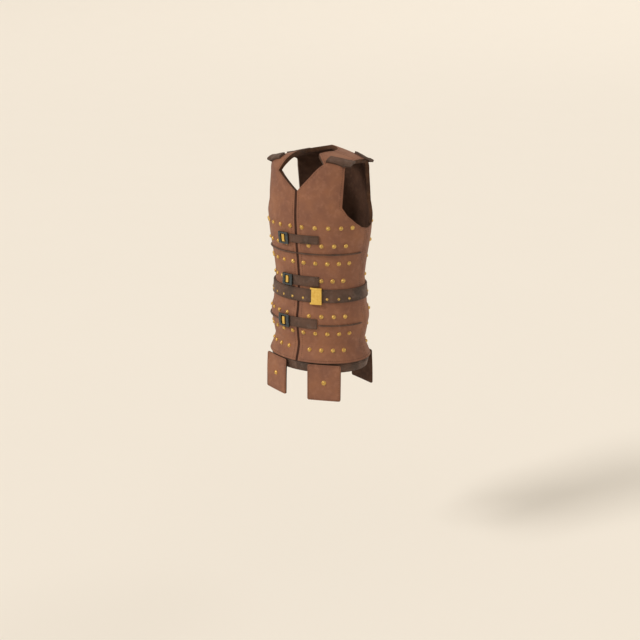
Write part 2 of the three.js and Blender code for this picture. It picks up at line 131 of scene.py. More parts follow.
# The cover sinks a little round each rivet.
PULL_DEPTH = 0.7
PULL_REACH = 9.0
# Stitches: share of the pitch that the thread covers, and how far it stands off the leather.
STITCH_SHARE = 0.66
STITCH_LIFT = 0.1
# Seams: mm in from the edges, and degrees left free at the belt's ends and beside a frame.
SEAM_IN = dict(belt=3.6, strap=3.4, tab=3.6, tasset=5)
SEAM_FREE = dict(belt_start=6, belt_end=7, frame=0.6)
HEM_SEAM_POINTS = 70
TASSET = dict(wide=112, tall=123, thick=6, middle=-722, yaw=20.9, tilt=2.3, round=6, aside=44.8)
# A tasset's face bows out in the middle and its sides ripple. Rings of points step inwards.
TASSET_BOW = dict(middle=1.1, side=0.7, ripple=24, share=0.8)
TASSET_INSETS = [0, 2.5, 6, 11, 18, 26, 35, 45]
CORNER_POINTS = 6
SIDE_POINTS = 8
TAB = dict(start=86, end=157, wide=30, thick=7)
TAB_LINE = [(80, 89), (141, 60), (166, 52)]
PLACES = [
    ("front_left", 1, 1), ("front_right", -1, 1), ("back_left", 1, -1), ("back_right", -1, -1),
]

# Soft troughs and ridges in the cover: angle, height, degrees wide, mm tall, slope, depth in mm.
FOLDS = [
    (66, -400, 13, 7, 0.9, -1.5), (72, -372, 12, 6, 0.6, 0.9), (58, -478, 12, 7, -0.8, -1.3),
    (76, -490, 11, 7, -0.5, 0.8), (-60, -404, 12, 7, -0.9, -1.4), (-72, -380, 12, 6, -0.5, 0.8),
    (-56, -480, 11, 7, 0.7, -1.3), (40, -160, 16, 13, 1.7, -1.5), (48, -205, 10, 9, 1.2, 0.8),
    (-42, -150, 15, 12, -1.9, -1.3), (-46, -190, 11, 9, -1.4, 0.9), (20, -130, 9, 18, 2.6, -0.8),
    (125, -398, 14, 7, -0.8, -1.6), (148, -372, 13, 7, -0.5, 0.9), (118, -480, 14, 7, 0.7, -1.4),
    (-122, -400, 13, 8, 0.8, -1.6), (-150, -378, 14, 7, 0.4, 0.9), (-128, -484, 12, 7, -0.6, -1.3),
    (160, -130, 18, 14, -1.2, -1.2), (-158, -118, 17, 13, 1.4, -1.3), (50, -640, 9, 8, 0.3, -1.2),
    (-44, -642, 10, 7, -0.3, -1.1), (84, -640, 8, 8, 0.5, 0.8), (178, -300, 9, 22, 0.2, -0.9),
]

# Sizes of the patterns in leather and metal, mm.
LEATHER_MM = dict(mottling=70, spots=16, burnish=9, sheen=22, pores=0.9, wrinkles=28)
METAL_MM = dict(film=7, sheen=3, polish=1.3)

# Lights: place, size in degrees, strength and colour.
LIGHTS = [
    ("key_light", (-1.6, -2.6, 2.0), 14, 1.55, (1.0, 0.95, 0.88)),
    ("back_light", (1.2, 3.0, 2.6), 30, 0.3, (1.0, 0.98, 0.95)),
]
LIGHT_AIM = (0, 0, -0.4)
# Backdrop: its light on the vest, and its brightness to the eye, which matches the floor's.
SKY_COLOUR = "#F4EADA"
SKY_LIGHT = 0.72
SKY_SEEN = 0.95
SENSOR_WIDTH = 36
# Floor: radius and height of its profile, metres.
FLOOR_PROFILE = [
    (0.001, 0), (3, 0), (10, 0), (22, 0), (30, 0.15), (37, 0.7), (43, 1.8), (48, 3.6), (52, 6.5),
    (55, 11),
]
FLOOR_SIDES = 96


# ---- the body surface ----
def mix(a, b, share):
    return a + (b - a) * share


def through(table, at):
    """Smooth curve through a table of pairs."""
    i = 0
    while i < len(table) - 2 and at > table[i + 1][0]:
        i += 1

    def slope(j):
        before, after = table[max(j - 1, 0)], table[min(j + 1, len(table) - 1)]
        return (after[1] - before[1]) / (after[0] - before[0])

    (x0, y0), (x1, y1) = table[i], table[i + 1]
    span = x1 - x0
    u = min(max((at - x0) / span, 0.0), 1.0)
    bend = mix(y0, y1, u * u * (3 - 2 * u))
    return bend + u * (1 - u) ** 2 * span * slope(i) + u * u * (u - 1) * span * slope(i + 1)


def on_body(angle, z):
    """Point on the body at an angle from the centre front and a height."""
    half = through(BODY, z)
    t = math.radians(angle)
    return Vector((half * math.sin(t), -DEPTH_RATIO * half * math.cos(t), z))


def yoke_share(over):
    """How far forward and how high the turn over the shoulder is, each from 0 to 1."""
    c = math.cos(math.radians(over))
    s = math.sin(math.radians(over))
    size = (abs(c) ** YOKE_POWER + abs(s) ** YOKE_POWER) ** (-1 / YOKE_POWER)
    return c * size, s * size


def on_yoke(x, over, side):
    """Point on the shoulder: distance out, degrees over it, and -1 for front or 1 for back."""
    half = through(BODY, YOKE_Z)
    deep = DEPTH_RATIO * math.sqrt(max(half * half - x * x, 1))
    c, s = yoke_share(over)
    ridge = RIDGE_Z - RIDGE_DROP * (x - NECK_SIDE_X)
    return Vector((x, side * deep * c, YOKE_Z + (ridge - YOKE_Z) * s))


def normal_of(surface, u, v, out):
    step = 0.05
    across = surface(u + step, v) - surface(u - step, v)
    along = surface(u, v + step) - surface(u, v - step)
    normal = across.cross(along).normalized()
    return normal if normal.dot(out) > 0 else -normal


def body_seat(angle, z, by=0.0):
    """Point and outward normal on the body, `by` mm above the surface."""
    point = on_body(angle, z)
    out = Vector((point.x, point.y, 0))
    normal = normal_of(on_body, angle, z, out)
    return point + normal * by, normal


def yoke_seat(x, over, side):
    """Point and outward normal on the shoulder."""
    point = on_yoke(x, over, side)
    v = min(over, 89.9)
    normal = normal_of(lambda a, b: on_yoke(a, min(b, 90), side), x, v, Vector((0, side, 1)))
    if over > 89:
        normal.y = 0
        normal.normalize()
        point.y = side * GAP / 2
    return point, normal


def wall_at(z):
    """Thickness of the wall, padded at the neck and shoulders."""
    share = min(max((z - PADDED[0]) / (PADDED[1] - PADDED[0]), 0.0), 1.0)
    return mix(WALL, NECK_WALL, share * share * (3 - 2 * share))


def fold_height(angle, z):
    """How far the soft troughs and ridges move the cover."""
    height = 0.0
    for at, level, wide, tall, slope, depth in FOLDS:
        turn = (angle - at + 180) % 360 - 180
        if abs(turn) > 3 * wide:
            continue
        off = (z - level) - slope * turn
        height += depth * math.exp(-(turn / wide) ** 2 - (off / tall) ** 2)
    return height


def degrees_at(width, z):
    """The turn round the body that a width near the centre front takes."""
    return math.degrees(width / through(BODY, z))


def side_angle(z):
    """Outer edge of a panel below the shoulder, degrees."""
    clear = math.degrees(GAP / 2 / (DEPTH_RATIO * through(BODY, z)))
    if z <= ARMPIT_Z:
        return 90 - clear / DEPTH_RATIO
    if z < ARMHOLE[-1][0]:
        i = next(n for n, (at, _) in enumerate(ARMHOLE) if at > z)
        (z0, t0), (z1, t1) = ARMHOLE[i - 1], ARMHOLE[i]
        return min(mix(t0, t1, (z - z0) / (z1 - z0)), 90 - clear)
    return math.degrees(math.asin(STRAP_OUT_X / through(BODY, z)))


def front_edge(z, notch):
    """Inner edge of a front below the shoulder, distance from the centre."""
    if z <= V_Z:
        return OPENING / 2
    x, over, _ = notch
    return mix(OPENING / 2, x, (z - V_Z) / (on_yoke(x, over, -1).z - V_Z))


def front_neck(over, notch):
    """Inner edge of a front on the shoulder: up to the notch, in to the corner, out to the side."""
    x, notch_over, swing = notch
    c, s = yoke_share(over)
    notch_c, notch_s = yoke_share(notch_over)
    corner_c, corner_s = yoke_share(CORNER_OVER)
    if over <= notch_over:
        return mix(front_edge(YOKE_Z, notch), x, s / notch_s)
    if over >= CORNER_OVER:
        return mix(NECK_SIDE_X, NECK_FRONT_X, c / corner_c)
    back = (notch_c - c) / (notch_c - corner_c)
    up = (s - notch_s) / (corner_s - notch_s)
    return mix(x, NECK_FRONT_X, mix(back, up, swing))


def back_neck(over):
    c = yoke_share(over)[0]
    return 0.0 if c >= BACK_NECK else NECK_SIDE_X * math.sqrt(1 - (c / BACK_NECK) ** 2)


def levels(marks, step):
    """Values through every mark, about one step apart."""
    values = []
    for low, high in zip(marks, marks[1:]):
        count = max(1, round((high - low) / step))
        values += [mix(low, high, i / count) for i in range(count)]
    return values + [marks[-1]]


BODY_LEVELS = levels([HEM_Z, ARMPIT_Z, -214, -211, -196, -170, -144, V_Z, YOKE_Z], 5.2)
YOKE_FRONT = {
    side: levels([0, over, CORNER_OVER, 90], 3.2)[1:] for side, (_, over, _) in NOTCH.items()
}
YOKE_BACK = levels([0, 60, 61.2, 62.2, 64, 68, 78, 90], 3.2)[1:]


def half_rows(front, side, columns):
    """Outer points of half a panel, hem first: angle, height, point and normal."""
    notch = NOTCH[side]
    rows = []
    for z in BODY_LEVELS:
        edge = front_edge(z, notch) if front else 0.0
        inner = math.degrees(math.asin(edge / through(BODY, z)))
        row = []
        for i in range(columns + 1):
            angle = side * mix(inner, side_angle(z), i / columns)
            angle = angle if front else 180 - angle
            row.append((angle, z, *body_seat(angle, z)))
        rows.append(row)
    face = -1 if front else 1
    for over in YOKE_FRONT[side] if front else YOKE_BACK:
        inner = front_neck(over, notch) if front else back_neck(over)
        row = []
        for i in range(columns + 1):
            point, normal = yoke_seat(mix(inner, STRAP_OUT_X, i / columns), over, face)
            point.x *= side
            normal.x *= side
            angle = math.degrees(math.atan2(point.x, -point.y / DEPTH_RATIO))
            row.append((angle, point.z, point, normal))
        rows.append(row)
    return rows


# ---- mesh helpers ----
def new_object(name, points, faces):
    mesh = bpy.data.meshes.new(name)
    mesh.from_pydata([p * MM for p in points], [], faces)
    mesh.update()
    obj = bpy.data.objects.new(name, mesh)
    bpy.context.scene.collection.objects.link(obj)
    return obj


def baked(obj):
    """The object's evaluated mesh in place of its modifiers."""
    graph = bpy.context.evaluated_depsgraph_get()
    mesh = bpy.data.meshes.new_from_object(obj.evaluated_get(graph))
    obj.modifiers.clear()
    old = obj.data
    obj.data = mesh
    mesh.name = obj.name
    bpy.data.meshes.remove(old)
    return obj


def smooth(obj, sharp_angle=42):
    mesh = obj.data
    mesh.polygons.foreach_set("use_smooth", [True] * len(mesh.polygons))
    mesh.set_sharp_from_angle(angle=math.radians(sharp_angle))
    return obj


def grid_faces(rows, columns, skip=None):
    wide = columns + 1
    faces = []
    for r in range(rows):
        for c in range(columns):
            if skip and skip(r, c):
                continue
            a = r * wide + c
            faces.append((a, a + 1, a + 1 + wide, a + wide))
    return faces


def faced_out(points, faces, normals):
    """The faces turned so that they look along the points' normals."""
    a, b, c, _ = faces[len(faces) // 2]
    turn = (points[b] - points[a]).cross(points[c] - points[a]).dot(normals[a]) < 0
    return [tuple(reversed(f)) for f in faces] if turn else faces


def mark_rim(obj, reach):
    """Attribute `rim`: 1 at the piece's cut edge, 0 from `reach` mm away."""
    mesh = obj.data
    uses = {}
    for polygon in mesh.polygons:
        for key in polygon.edge_keys:
            uses[key] = uses.get(key, 0) + 1
    border = {v for key, n in uses.items() if n == 1 for v in key}
    tree = kdtree.KDTree(len(border))
    for i in border:
        tree.insert(mesh.vertices[i].co, i)
    tree.balance()
    rim = mesh.attributes.new("rim", "FLOAT", "POINT")
    values = [max(0.0, 1 - tree.find(v.co)[2] / (reach * MM)) for v in mesh.vertices]
    rim.data.foreach_set("value", values)


def shell(name, points, normals, faces, thick, materials, bevel=1.4, segments=3, reach=9.0,
          depth=None):
    """A sheet of leather or metal: the given outer face, thickness inwards and rounded edges.
    `depth` gives the thickness at a height, `thick` at the most."""
    used = sorted({i for face in faces for i in face})
    place = {old: new for new, old in enumerate(used)}
    faces = faced_out(points, faces, normals)
    faces = [tuple(place[i] for i in face) for face in faces]
    obj = new_object(name, [points[i] for i in used], faces)
    mark_rim(obj, reach)
    for material in materials:
        obj.data.materials.append(material)
    solid = obj.modifiers.new("thickness", "SOLIDIFY")
    solid.thickness = thick * MM
    solid.offset = -1
    solid.use_even_offset = False
    if depth:
        group = obj.vertex_groups.new(name="depth")
        for i, old in enumerate(used):
            group.add([i], depth(points[old].z) / thick, "REPLACE")
        solid.vertex_group = group.name
    if len(materials) > 1:
        solid.material_offset = 1
        solid.material_offset_rim = len(materials) - 1
    round_edge = obj.modifiers.new("edge", "BEVEL")
    round_edge.width = bevel * MM
    round_edge.segments = segments
    round_edge.limit_method = "ANGLE"
    round_edge.angle_limit = math.radians(50)
    round_edge.use_clamp_overlap = True
    return smooth(baked(obj))


def laid_grid(start, end, low, high, by, columns, rows):
    points, normals = [], []
    for r in range(rows + 1):
        z = mix(low, high, r / rows)
        for c in range(columns + 1):
            point, normal = body_seat(mix(start, end, c / columns), z, by)
            points.append(point)
            normals.append(normal)
    return points, normals


def laid(name, start, end, low, high, above, thick, materials, columns, rows, skip=None, **more):
    """A strip on the body between two angles and two heights."""
    points, normals = laid_grid(start, end, low, high, above + thick, columns, rows)
    faces = grid_faces(rows, columns, skip)
    return shell(name, points, normals, faces, thick, materials, **more)


def join(name, objects):
    """One object made of several, under a new name."""
    first = objects[0]
    with bpy.context.temp_override(active_object=first, selected_editable_objects=objects):
        bpy.ops.object.join()
    first.name = name
    first.data.name = name
    return first


def mirrored(obj, name, x=1, y=1):
    """A turned-over copy of a piece, its faces outward."""
    copy = obj.copy()
    copy.data = obj.data.copy()
    copy.name = name
    copy.data.name = name
    bpy.context.scene.collection.objects.link(copy)
    copy.data.transform(Matrix.Diagonal((x, y, 1, 1)))
    if x * y < 0:
        copy.data.flip_normals()
    return copy


def area_of(points, faces):
    total = 0.0
    for a, b, c, d in faces:
        one = (points[b] - points[a]).cross(points[c] - points[a]).length
        two = (points[c] - points[a]).cross(points[d] - points[a]).length
        total += (one + two) / 2
    return total * MM * MM


def span_of(points):
    return sum((b - a).length for a, b in zip(points, points[1:])) * MM


def cut(width, length, area):
    """Clamps the piece's flat area between 0.3 and 1 times width by length, and keeps nothing of
    it.
    """
    area = min(max(area, 0.3 * width * length), width * length)


def settle(piece, slot, *nodes):
    """Puts a piece on the body in the place of its nodes; `slot` is not used."""
    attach(piece, "root")
    if nodes:
        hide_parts(*nodes)


# ---- materials ----
def linear(hex_colour):
    """sRGB hex to linear RGBA."""
    parts = [int(hex_colour[i:i + 2], 16) / 255 for i in (1, 3, 5)]
    return [c / 12.92 if c <= 0.04045 else ((c + 0.055) / 1.055) ** 2.4 for c in parts] + [1.0]


class Tree:
    """A small helper that adds and links nodes."""

    def __init__(self, tree):
        self.tree = tree

    def node(self, kind, **settings):
        node = self.tree.nodes.new(kind)
        for key, value in settings.items():
            setattr(node, key, value)
        return node

    def link(self, source, target):
        self.tree.links.new(source, target)


def start_material(name):
    material = bpy.data.materials.new(name)
    material.use_nodes = True
    nodes = Tree(material.node_tree)
    shader = material.node_tree.nodes["Principled BSDF"]
    place = nodes.node("ShaderNodeTexCoord").outputs["Object"]
    return material, nodes, shader, place


def noise(nodes, place, size_mm, detail=4.0, rough=0.55):
    """Noise whose coarsest spots are `size_mm` across."""
    node = nodes.node("ShaderNodeTexNoise")
    node.inputs["Scale"].default_value = 1000 / size_mm
    node.inputs["Detail"].default_value = detail
    node.inputs["Roughness"].default_value = rough
    nodes.link(place, node.inputs["Vector"])
    return node.outputs["Fac"]


def ranged(nodes, value, low, high, to_low, to_high):
    node = nodes.node("ShaderNodeMapRange")
    limits = {"From Min": low, "From Max": high, "To Min": to_low, "To Max": to_high}
    for key, number in limits.items():
        node.inputs[key].default_value = number
    nodes.link(value, node.inputs["Value"])
    return node.outputs["Result"]


def blended(nodes, share, first, second):
    """Mix of two colours, each a list or a socket."""
    node = nodes.node("ShaderNodeMix", data_type="RGBA", blend_type="MIX")
    for socket, value in ((node.inputs[6], first), (node.inputs[7], second)):
        if isinstance(value, list):
            socket.default_value = value
        else:
            nodes.link(value, socket)
    if isinstance(share, float):
        node.inputs[0].default_value = share
    else:
        nodes.link(share, node.inputs[0])
    return node.outputs[2]


def leather(name, base, deep, light, rough=0.6, grain=1.7, relief=0.35, edge_dark=0.55):
    """Vegetable-tanned leather: pebble grain, pull-up mottling and burnished edges."""
    material, nodes, shader, place = start_material(name)
    size = LEATHER_MM
    broad = ranged(nodes, noise(nodes, place, size["mottling"], 3.0), 0.32, 0.68, 0.0, 1.0)
    colour = blended(nodes, broad, linear(deep), linear(base))
    spots = ranged(nodes, noise(nodes, place, size["spots"], 5.0, 0.62), 0.5, 0.75, 0.0, 0.55)
    colour = blended(nodes, spots, colour, linear(light))
    cells = nodes.node("ShaderNodeTexVoronoi", feature="DISTANCE_TO_EDGE")
    cells.inputs["Scale"].default_value = 1000 / grain
    nodes.link(place, cells.inputs["Vector"])
    crease = ranged(nodes, cells.outputs["Distance"], 0.0, 0.16, 1.0, 0.0)
    pores = nodes.node("ShaderNodeMath", operation="MULTIPLY")
    pores.inputs[1].default_value = 0.16
    nodes.link(crease, pores.inputs[0])
    colour = blended(nodes, pores.outputs[0], colour, linear(deep))
    rim = nodes.node("ShaderNodeAttribute", attribute_name="rim").outputs["Fac"]
    burnish = nodes.node("ShaderNodeMath", operation="MULTIPLY")
    nodes.link(ranged(nodes, rim, 0.45, 1.0, 0.0, edge_dark), burnish.inputs[0])
    patchy = noise(nodes, place, size["burnish"], 3.0)
    nodes.link(ranged(nodes, patchy, 0.3, 0.6, 0.55, 1.0), burnish.inputs[1])
    colour = blended(nodes, burnish.outputs[0], colour, linear(deep))
    nodes.link(colour, shader.inputs["Base Color"])
    uneven = noise(nodes, place, size["sheen"], 4.0)
    sheen = ranged(nodes, uneven, 0.3, 0.7, rough - 0.07, rough + 0.08)
    nodes.link(sheen, shader.inputs["Roughness"])
    shader.inputs["IOR"].default_value = 1.45
    shader.inputs["Specular IOR Level"].default_value = 0.35
    fine = nodes.node("ShaderNodeBump")
    fine.inputs["Strength"].default_value = relief
    fine.inputs["Distance"].default_value = 0.0004
    height = nodes.node("ShaderNodeMath", operation="SUBTRACT")
    nodes.link(noise(nodes, place, size["pores"], 2.0), height.inputs[0])
    nodes.link(crease, height.inputs[1])
    nodes.link(height.outputs[0], fine.inputs["Height"])
    wrinkle = nodes.node("ShaderNodeBump")
    wrinkle.inputs["Strength"].default_value = 0.4
    wrinkle.inputs["Distance"].default_value = 0.0015
    nodes.link(noise(nodes, place, size["wrinkles"], 5.0, 0.6), wrinkle.inputs["Height"])
    nodes.link(fine.outputs["Normal"], wrinkle.inputs["Normal"])
    nodes.link(wrinkle.outputs["Normal"], shader.inputs["Normal"])
    return material


def metal(name, base, worn, rough):
    """Solid metal with fine hand polishing and a darker film in places."""
    material, nodes, shader, place = start_material(name)
    film = ranged(nodes, noise(nodes, place, METAL_MM["film"], 5.0, 0.6), 0.38, 0.66, 0.0, 0.75)
    nodes.link(blended(nodes, film, linear(base), linear(worn)), shader.inputs["Base Color"])
    shader.inputs["Metallic"].default_value = 1.0
    uneven = noise(nodes, place, METAL_MM["sheen"], 4.0)
    sheen = ranged(nodes, uneven, 0.3, 0.7, rough - 0.06, rough + 0.1)
    nodes.link(sheen, shader.inputs["Roughness"])
    bump = nodes.node("ShaderNodeBump")
    bump.inputs["Strength"].default_value = 0.12
    bump.inputs["Distance"].default_value = 0.0003
    nodes.link(noise(nodes, place, METAL_MM["polish"], 4.0), bump.inputs["Height"])
    nodes.link(bump.outputs["Normal"], shader.inputs["Normal"])
    return material


def plain_floor(name, colour):
    """Matt painted studio floor, lit softly from within."""
    material, nodes, shader, place = start_material(name)
    soft = ranged(nodes, noise(nodes, place, 900, 2.0), 0.3, 0.7, 0.0, 0.03)
    painted = blended(nodes, soft, linear(colour), linear("#D8D4CC"))
    nodes.link(painted, shader.inputs["Base Color"])
    nodes.link(painted, shader.inputs["Emission Color"])
    shader.inputs["Emission Strength"].default_value = 0.08
    shader.inputs["Roughness"].default_value = 0.9
    shader.inputs["Specular IOR Level"].default_value = 0.1
    return material


MATERIALS = {}


def make_materials(settings):
    cover = settings.cover_colour
    MATERIALS.update({
        # Vegetable-tanned cowhide of the cover and tassets: matt brown, lighter where it was bent.
        "cover": leather("brown_cover_leather", cover, "#7A5140", "#A0725A", edge_dark=0.5),
        # Flesh side of the backing leather: rougher and darker, without sheen.
        "backing": leather("backing_leather", "#5C4031", "#432C20", "#6E5040", 0.85, 2.4, 0.5, 0.2),
        # Cut edges of cover, plates and backing, stained and burnished, and darker still as painted
        # shade on the cut edge: a dark line at every edge.
        "edge": leather("stained_edge", "#553620", "#3A2212", "#6E4A30", 0.65, 1.2, 0.5, 0.1),
        # Oiled bridle leather of belt, straps and trims: dark, with a low sheen.
        "dark": leather("dark_oiled_leather", settings.dark_colour, "#43342C", "#78635A", 0.55),
        # Dyed leather of the placket: almost black, so the front reads as a dark line.
        "placket": leather("placket_leather", "#401E0F", "#2C1408", "#54301E", 0.75),
        # Cast brass of plate and bars, hand polished: warm yellow with a soft gleam.
        "brass": metal("polished_brass", "#F0CC70", "#DAAE52", 0.44),
        # Brass of the rivet heads, paler and brighter than the flat brass: painted light that makes
        # up for the shade the doubled domes put on the heads.
        "rivet": metal("rubbed_brass", "#FFE08C", "#F0C668", 0.38),
        # Forged and blackened steel of the buckle frames: cool dark grey.
        "gunmetal": metal("blackened_steel", "#5B6164", "#3A4043", 0.42),
        # Waxed linen thread, dyed: dark brown, matt.
        "thread": leather("waxed_thread", "#4A3022", "#33200F", "#6B4A36", 0.7, 0.6, 0.4, 0.0),
    })


# ---- geometry nodes ----
def group_input(tree, name, kind, value=None):
    socket = tree.interface.new_socket(name=name, in_out="INPUT", socket_type=kind)
    if value is not None:
        socket.default_value = value
    return socket.identifier


def start_group(name):
    tree = bpy.data.node_groups.new(name, "GeometryNodeTree")
    group_input(tree, "Geometry", "NodeSocketGeometry")
    tree.interface.new_socket(name="Geometry", in_out="OUTPUT", socket_type="NodeSocketGeometry")
    return tree, Tree(tree)


def finish_group(nodes, instances, source, sink):
    """Makes the instances real, gives them their material and puts them out."""
    real = nodes.node("GeometryNodeRealizeInstances")
    painted = nodes.node("GeometryNodeSetMaterial")
    nodes.link(instances, real.inputs[0])
    nodes.link(real.outputs[0], painted.inputs["Geometry"])
    nodes.link(source.outputs["Material"], painted.inputs["Material"])
    nodes.link(painted.outputs[0], sink.inputs[0])


def head_group():
    """Domed rivet heads with a thin foot on every point, along its `axis`."""
    tree, nodes = start_group("rivet_heads")
    ids = {
        "radius": group_input(tree, "Head Radius", "NodeSocketFloat", 0.0055),
        "height": group_input(tree, "Head Height", "NodeSocketFloat", 0.0046),
        "seed": group_input(tree, "Seed", "NodeSocketInt", HEAD_SEED),
        "material": group_input(tree, "Material", "NodeSocketMaterial"),
    }
    source, sink = nodes.node("NodeGroupInput"), nodes.node("NodeGroupOutput")
    ball = nodes.node("GeometryNodeMeshUVSphere")
    ball.inputs["Segments"].default_value = HEAD_SEGMENTS
    ball.inputs["Rings"].default_value = HEAD_RINGS
    ball.inputs["Radius"].default_value = 1.0
    squash = nodes.node("ShaderNodeCombineXYZ")
    for axis, name in (("X", "Head Radius"), ("Y", "Head Radius"), ("Z", "Head Height")):
        nodes.link(source.outputs[name], squash.inputs[axis])
    dome = nodes.node("GeometryNodeTransform")
    nodes.link(ball.outputs["Mesh"], dome.inputs["Geometry"])
    nodes.link(squash.outputs[0], dome.inputs["Scale"])
    foot = nodes.node("GeometryNodeMeshCylinder")
    foot.inputs["Vertices"].default_value = HEAD_SEGMENTS
    foot.inputs["Depth"].default_value = FOOT_THICK * MM
    wider = nodes.node("ShaderNodeMath", operation="MULTIPLY")
    wider.inputs[1].default_value = FOOT_WIDER
    nodes.link(source.outputs["Head Radius"], wider.inputs[0])
    nodes.link(wider.outputs[0], foot.inputs["Radius"])
    # The dome goes in flat and smooth at the same place, which darkens the heads a little.
    both = nodes.node("GeometryNodeJoinGeometry")
    nodes.link(dome.outputs[0], both.inputs[0])
    nodes.link(foot.outputs["Mesh"], both.inputs[0])
    rounded = nodes.node("GeometryNodeSetShadeSmooth")
    nodes.link(dome.outputs[0], rounded.inputs[0])
    nodes.link(rounded.outputs[0], both.inputs[0])
    axis = nodes.node("GeometryNodeInputNamedAttribute", data_type="FLOAT_VECTOR")
    axis.inputs["Name"].default_value = "axis"
    turn = nodes.node("FunctionNodeAlignRotationToVector", axis="Z")
    nodes.link(axis.outputs["Attribute"], turn.inputs["Vector"])
    vary = nodes.node("FunctionNodeRandomValue", data_type="FLOAT")
    vary.inputs[2].default_value, vary.inputs[3].default_value = HEAD_SPREAD
    nodes.link(source.outputs["Seed"], vary.inputs["Seed"])
    placed = nodes.node("GeometryNodeInstanceOnPoints")
    nodes.link(source.outputs["Geometry"], placed.inputs["Points"])
    nodes.link(both.outputs[0], placed.inputs["Instance"])
    nodes.link(turn.outputs[0], placed.inputs["Rotation"])
    nodes.link(vary.outputs[1], placed.inputs["Scale"])
    finish_group(nodes, placed.outputs[0], source, sink)
    return tree, ids


def stitch_group():
    """Saddle stitches at an even pitch along every line."""
    tree, nodes = start_group("saddle_stitches")
    ids = {
        "pitch": group_input(tree, "Stitch Pitch", "NodeSocketFloat", 0.007),
        "length": group_input(tree, "Stitch Length", "NodeSocketFloat", 0.0046),
        "thread": group_input(tree, "Thread Width", "NodeSocketFloat", 0.0011),
        "material": group_input(tree, "Material", "NodeSocketMaterial"),
    }
    source, sink = nodes.node("NodeGroupInput"), nodes.node("NodeGroupOutput")
    curve = nodes.node("GeometryNodeMeshToCurve")
    nodes.link(source.outputs["Geometry"], curve.inputs[0])
    spaced = nodes.node("GeometryNodeResampleCurve", mode="LENGTH")
    nodes.link(curve.outputs[0], spaced.inputs["Curve"])
    nodes.link(source.outputs["Stitch Pitch"], spaced.inputs["Length"])
    bead = nodes.node("GeometryNodeMeshUVSphere")
    bead.inputs["Segments"].default_value = 6
    bead.inputs["Rings"].default_value = 5
    bead.inputs["Radius"].default_value = 0.5
    size = nodes.node("ShaderNodeCombineXYZ")
    nodes.link(source.outputs["Thread Width"], size.inputs["X"])
    nodes.link(source.outputs["Thread Width"], size.inputs["Y"])
    nodes.link(source.outputs["Stitch Length"], size.inputs["Z"])
    shaped = nodes.node("GeometryNodeTransform")
    nodes.link(bead.outputs["Mesh"], shaped.inputs["Geometry"])
    nodes.link(size.outputs[0], shaped.inputs["Scale"])
    rounded = nodes.node("GeometryNodeSetShadeSmooth")
    nodes.link(shaped.outputs[0], rounded.inputs[0])
    tangent = nodes.node("GeometryNodeInputTangent")
    turn = nodes.node("FunctionNodeAlignRotationToVector", axis="Z")
    nodes.link(tangent.outputs[0], turn.inputs["Vector"])
    placed = nodes.node("GeometryNodeInstanceOnPoints")
    nodes.link(spaced.outputs[0], placed.inputs["Points"])
    nodes.link(rounded.outputs[0], placed.inputs["Instance"])
    nodes.link(turn.outputs[0], placed.inputs["Rotation"])
    finish_group(nodes, placed.outputs[0], source, sink)
    return tree, ids


def heads(name, seats, radius, height):
    """Rivet heads on a list of seats, each a point and an axis."""
    obj = new_object(name, [p for p, _ in seats], [])
    axis = obj.data.attributes.new("axis", "FLOAT_VECTOR", "POINT")
    axis.data.foreach_set("vector", [value for _, n in seats for value in n])
    tree, ids = head_group()
    modifier = obj.modifiers.new("heads", "NODES")
    modifier.node_group = tree
    modifier[ids["radius"]] = radius * MM
    modifier[ids["height"]] = height * MM
    modifier[ids["seed"]] = HEAD_SEED
    modifier[ids["material"]] = MATERIALS["rivet"]
    return baked(obj)


def stitches(name, lines, settings):
    """Stitching along a list of lines of points."""
    points, edges = [], []
    for line in lines:
        start = len(points)
        points += line
        edges += [(i, i + 1) for i in range(start, len(points) - 1)]
    mesh = bpy.data.meshes.new(name)
    mesh.from_pydata([p * MM for p in points], edges, [])
    obj = bpy.data.objects.new(name, mesh)
    bpy.context.scene.collection.objects.link(obj)
    tree, ids = stitch_group()
    modifier = obj.modifiers.new("stitches", "NODES")
    modifier.node_group = tree
    modifier[ids["pitch"]] = settings.stitch_pitch
    modifier[ids["length"]] = settings.stitch_pitch * STITCH_SHARE
    modifier[ids["thread"]] = settings.thread_width
    modifier[ids["material"]] = MATERIALS["thread"]
    return baked(obj)


# ---- pieces ----
def moved(row_point):
    """A panel point with its soft fold and the pull of the rivets."""
    angle, z, point, normal = row_point
    return point + normal * (fold_height(angle, z) + rivet_pull(point))


RIVET_TREES = {}


def rivet_seats(front, side):
    """Seats of the rivets on one half. The left back has those on the centre line."""
    seats = []
    for z, front_odd, bare in RIVET_ROWS:
        odd = front_odd == front
        steps = [i + 0.5 if odd else i + 1 for i in range(5 if odd else 4)]
        if not (front or odd) and side > 0:
            steps.insert(0, 0)
        for step in steps:
            if front and bare == step:
                continue
            angle = step * RIVET_STEP * side
            angle = angle if front else 180 - angle
            point, normal = body_seat(angle, z)
            seats.append((point + normal * fold_height(angle, z), normal))
    return seats


def all_rivets():
    return [s for front in (True, False) for side in (1, -1) for s in rivet_seats(front, side)]


def rivet_pull(point):
    """The leather sinks a little round each rivet."""
    if not RIVET_TREES:
        seats = all_rivets()
        tree = kdtree.KDTree(len(seats))
        for i, (place, _) in enumerate(seats):
            tree.insert(place, i)
        tree.balance()
        RIVET_TREES["all"] = tree
    away = RIVET_TREES["all"].find(point)[2]
    return -PULL_DEPTH * math.exp(-(away / PULL_REACH) ** 2)


def front_grid(side, columns):
    rows = half_rows(True, side, columns)
    points = [moved(seat) for row in rows for seat in row]
    normals = [seat[3] for row in rows for seat in row]
    return rows, points, normals, grid_faces(len(rows) - 1, columns)


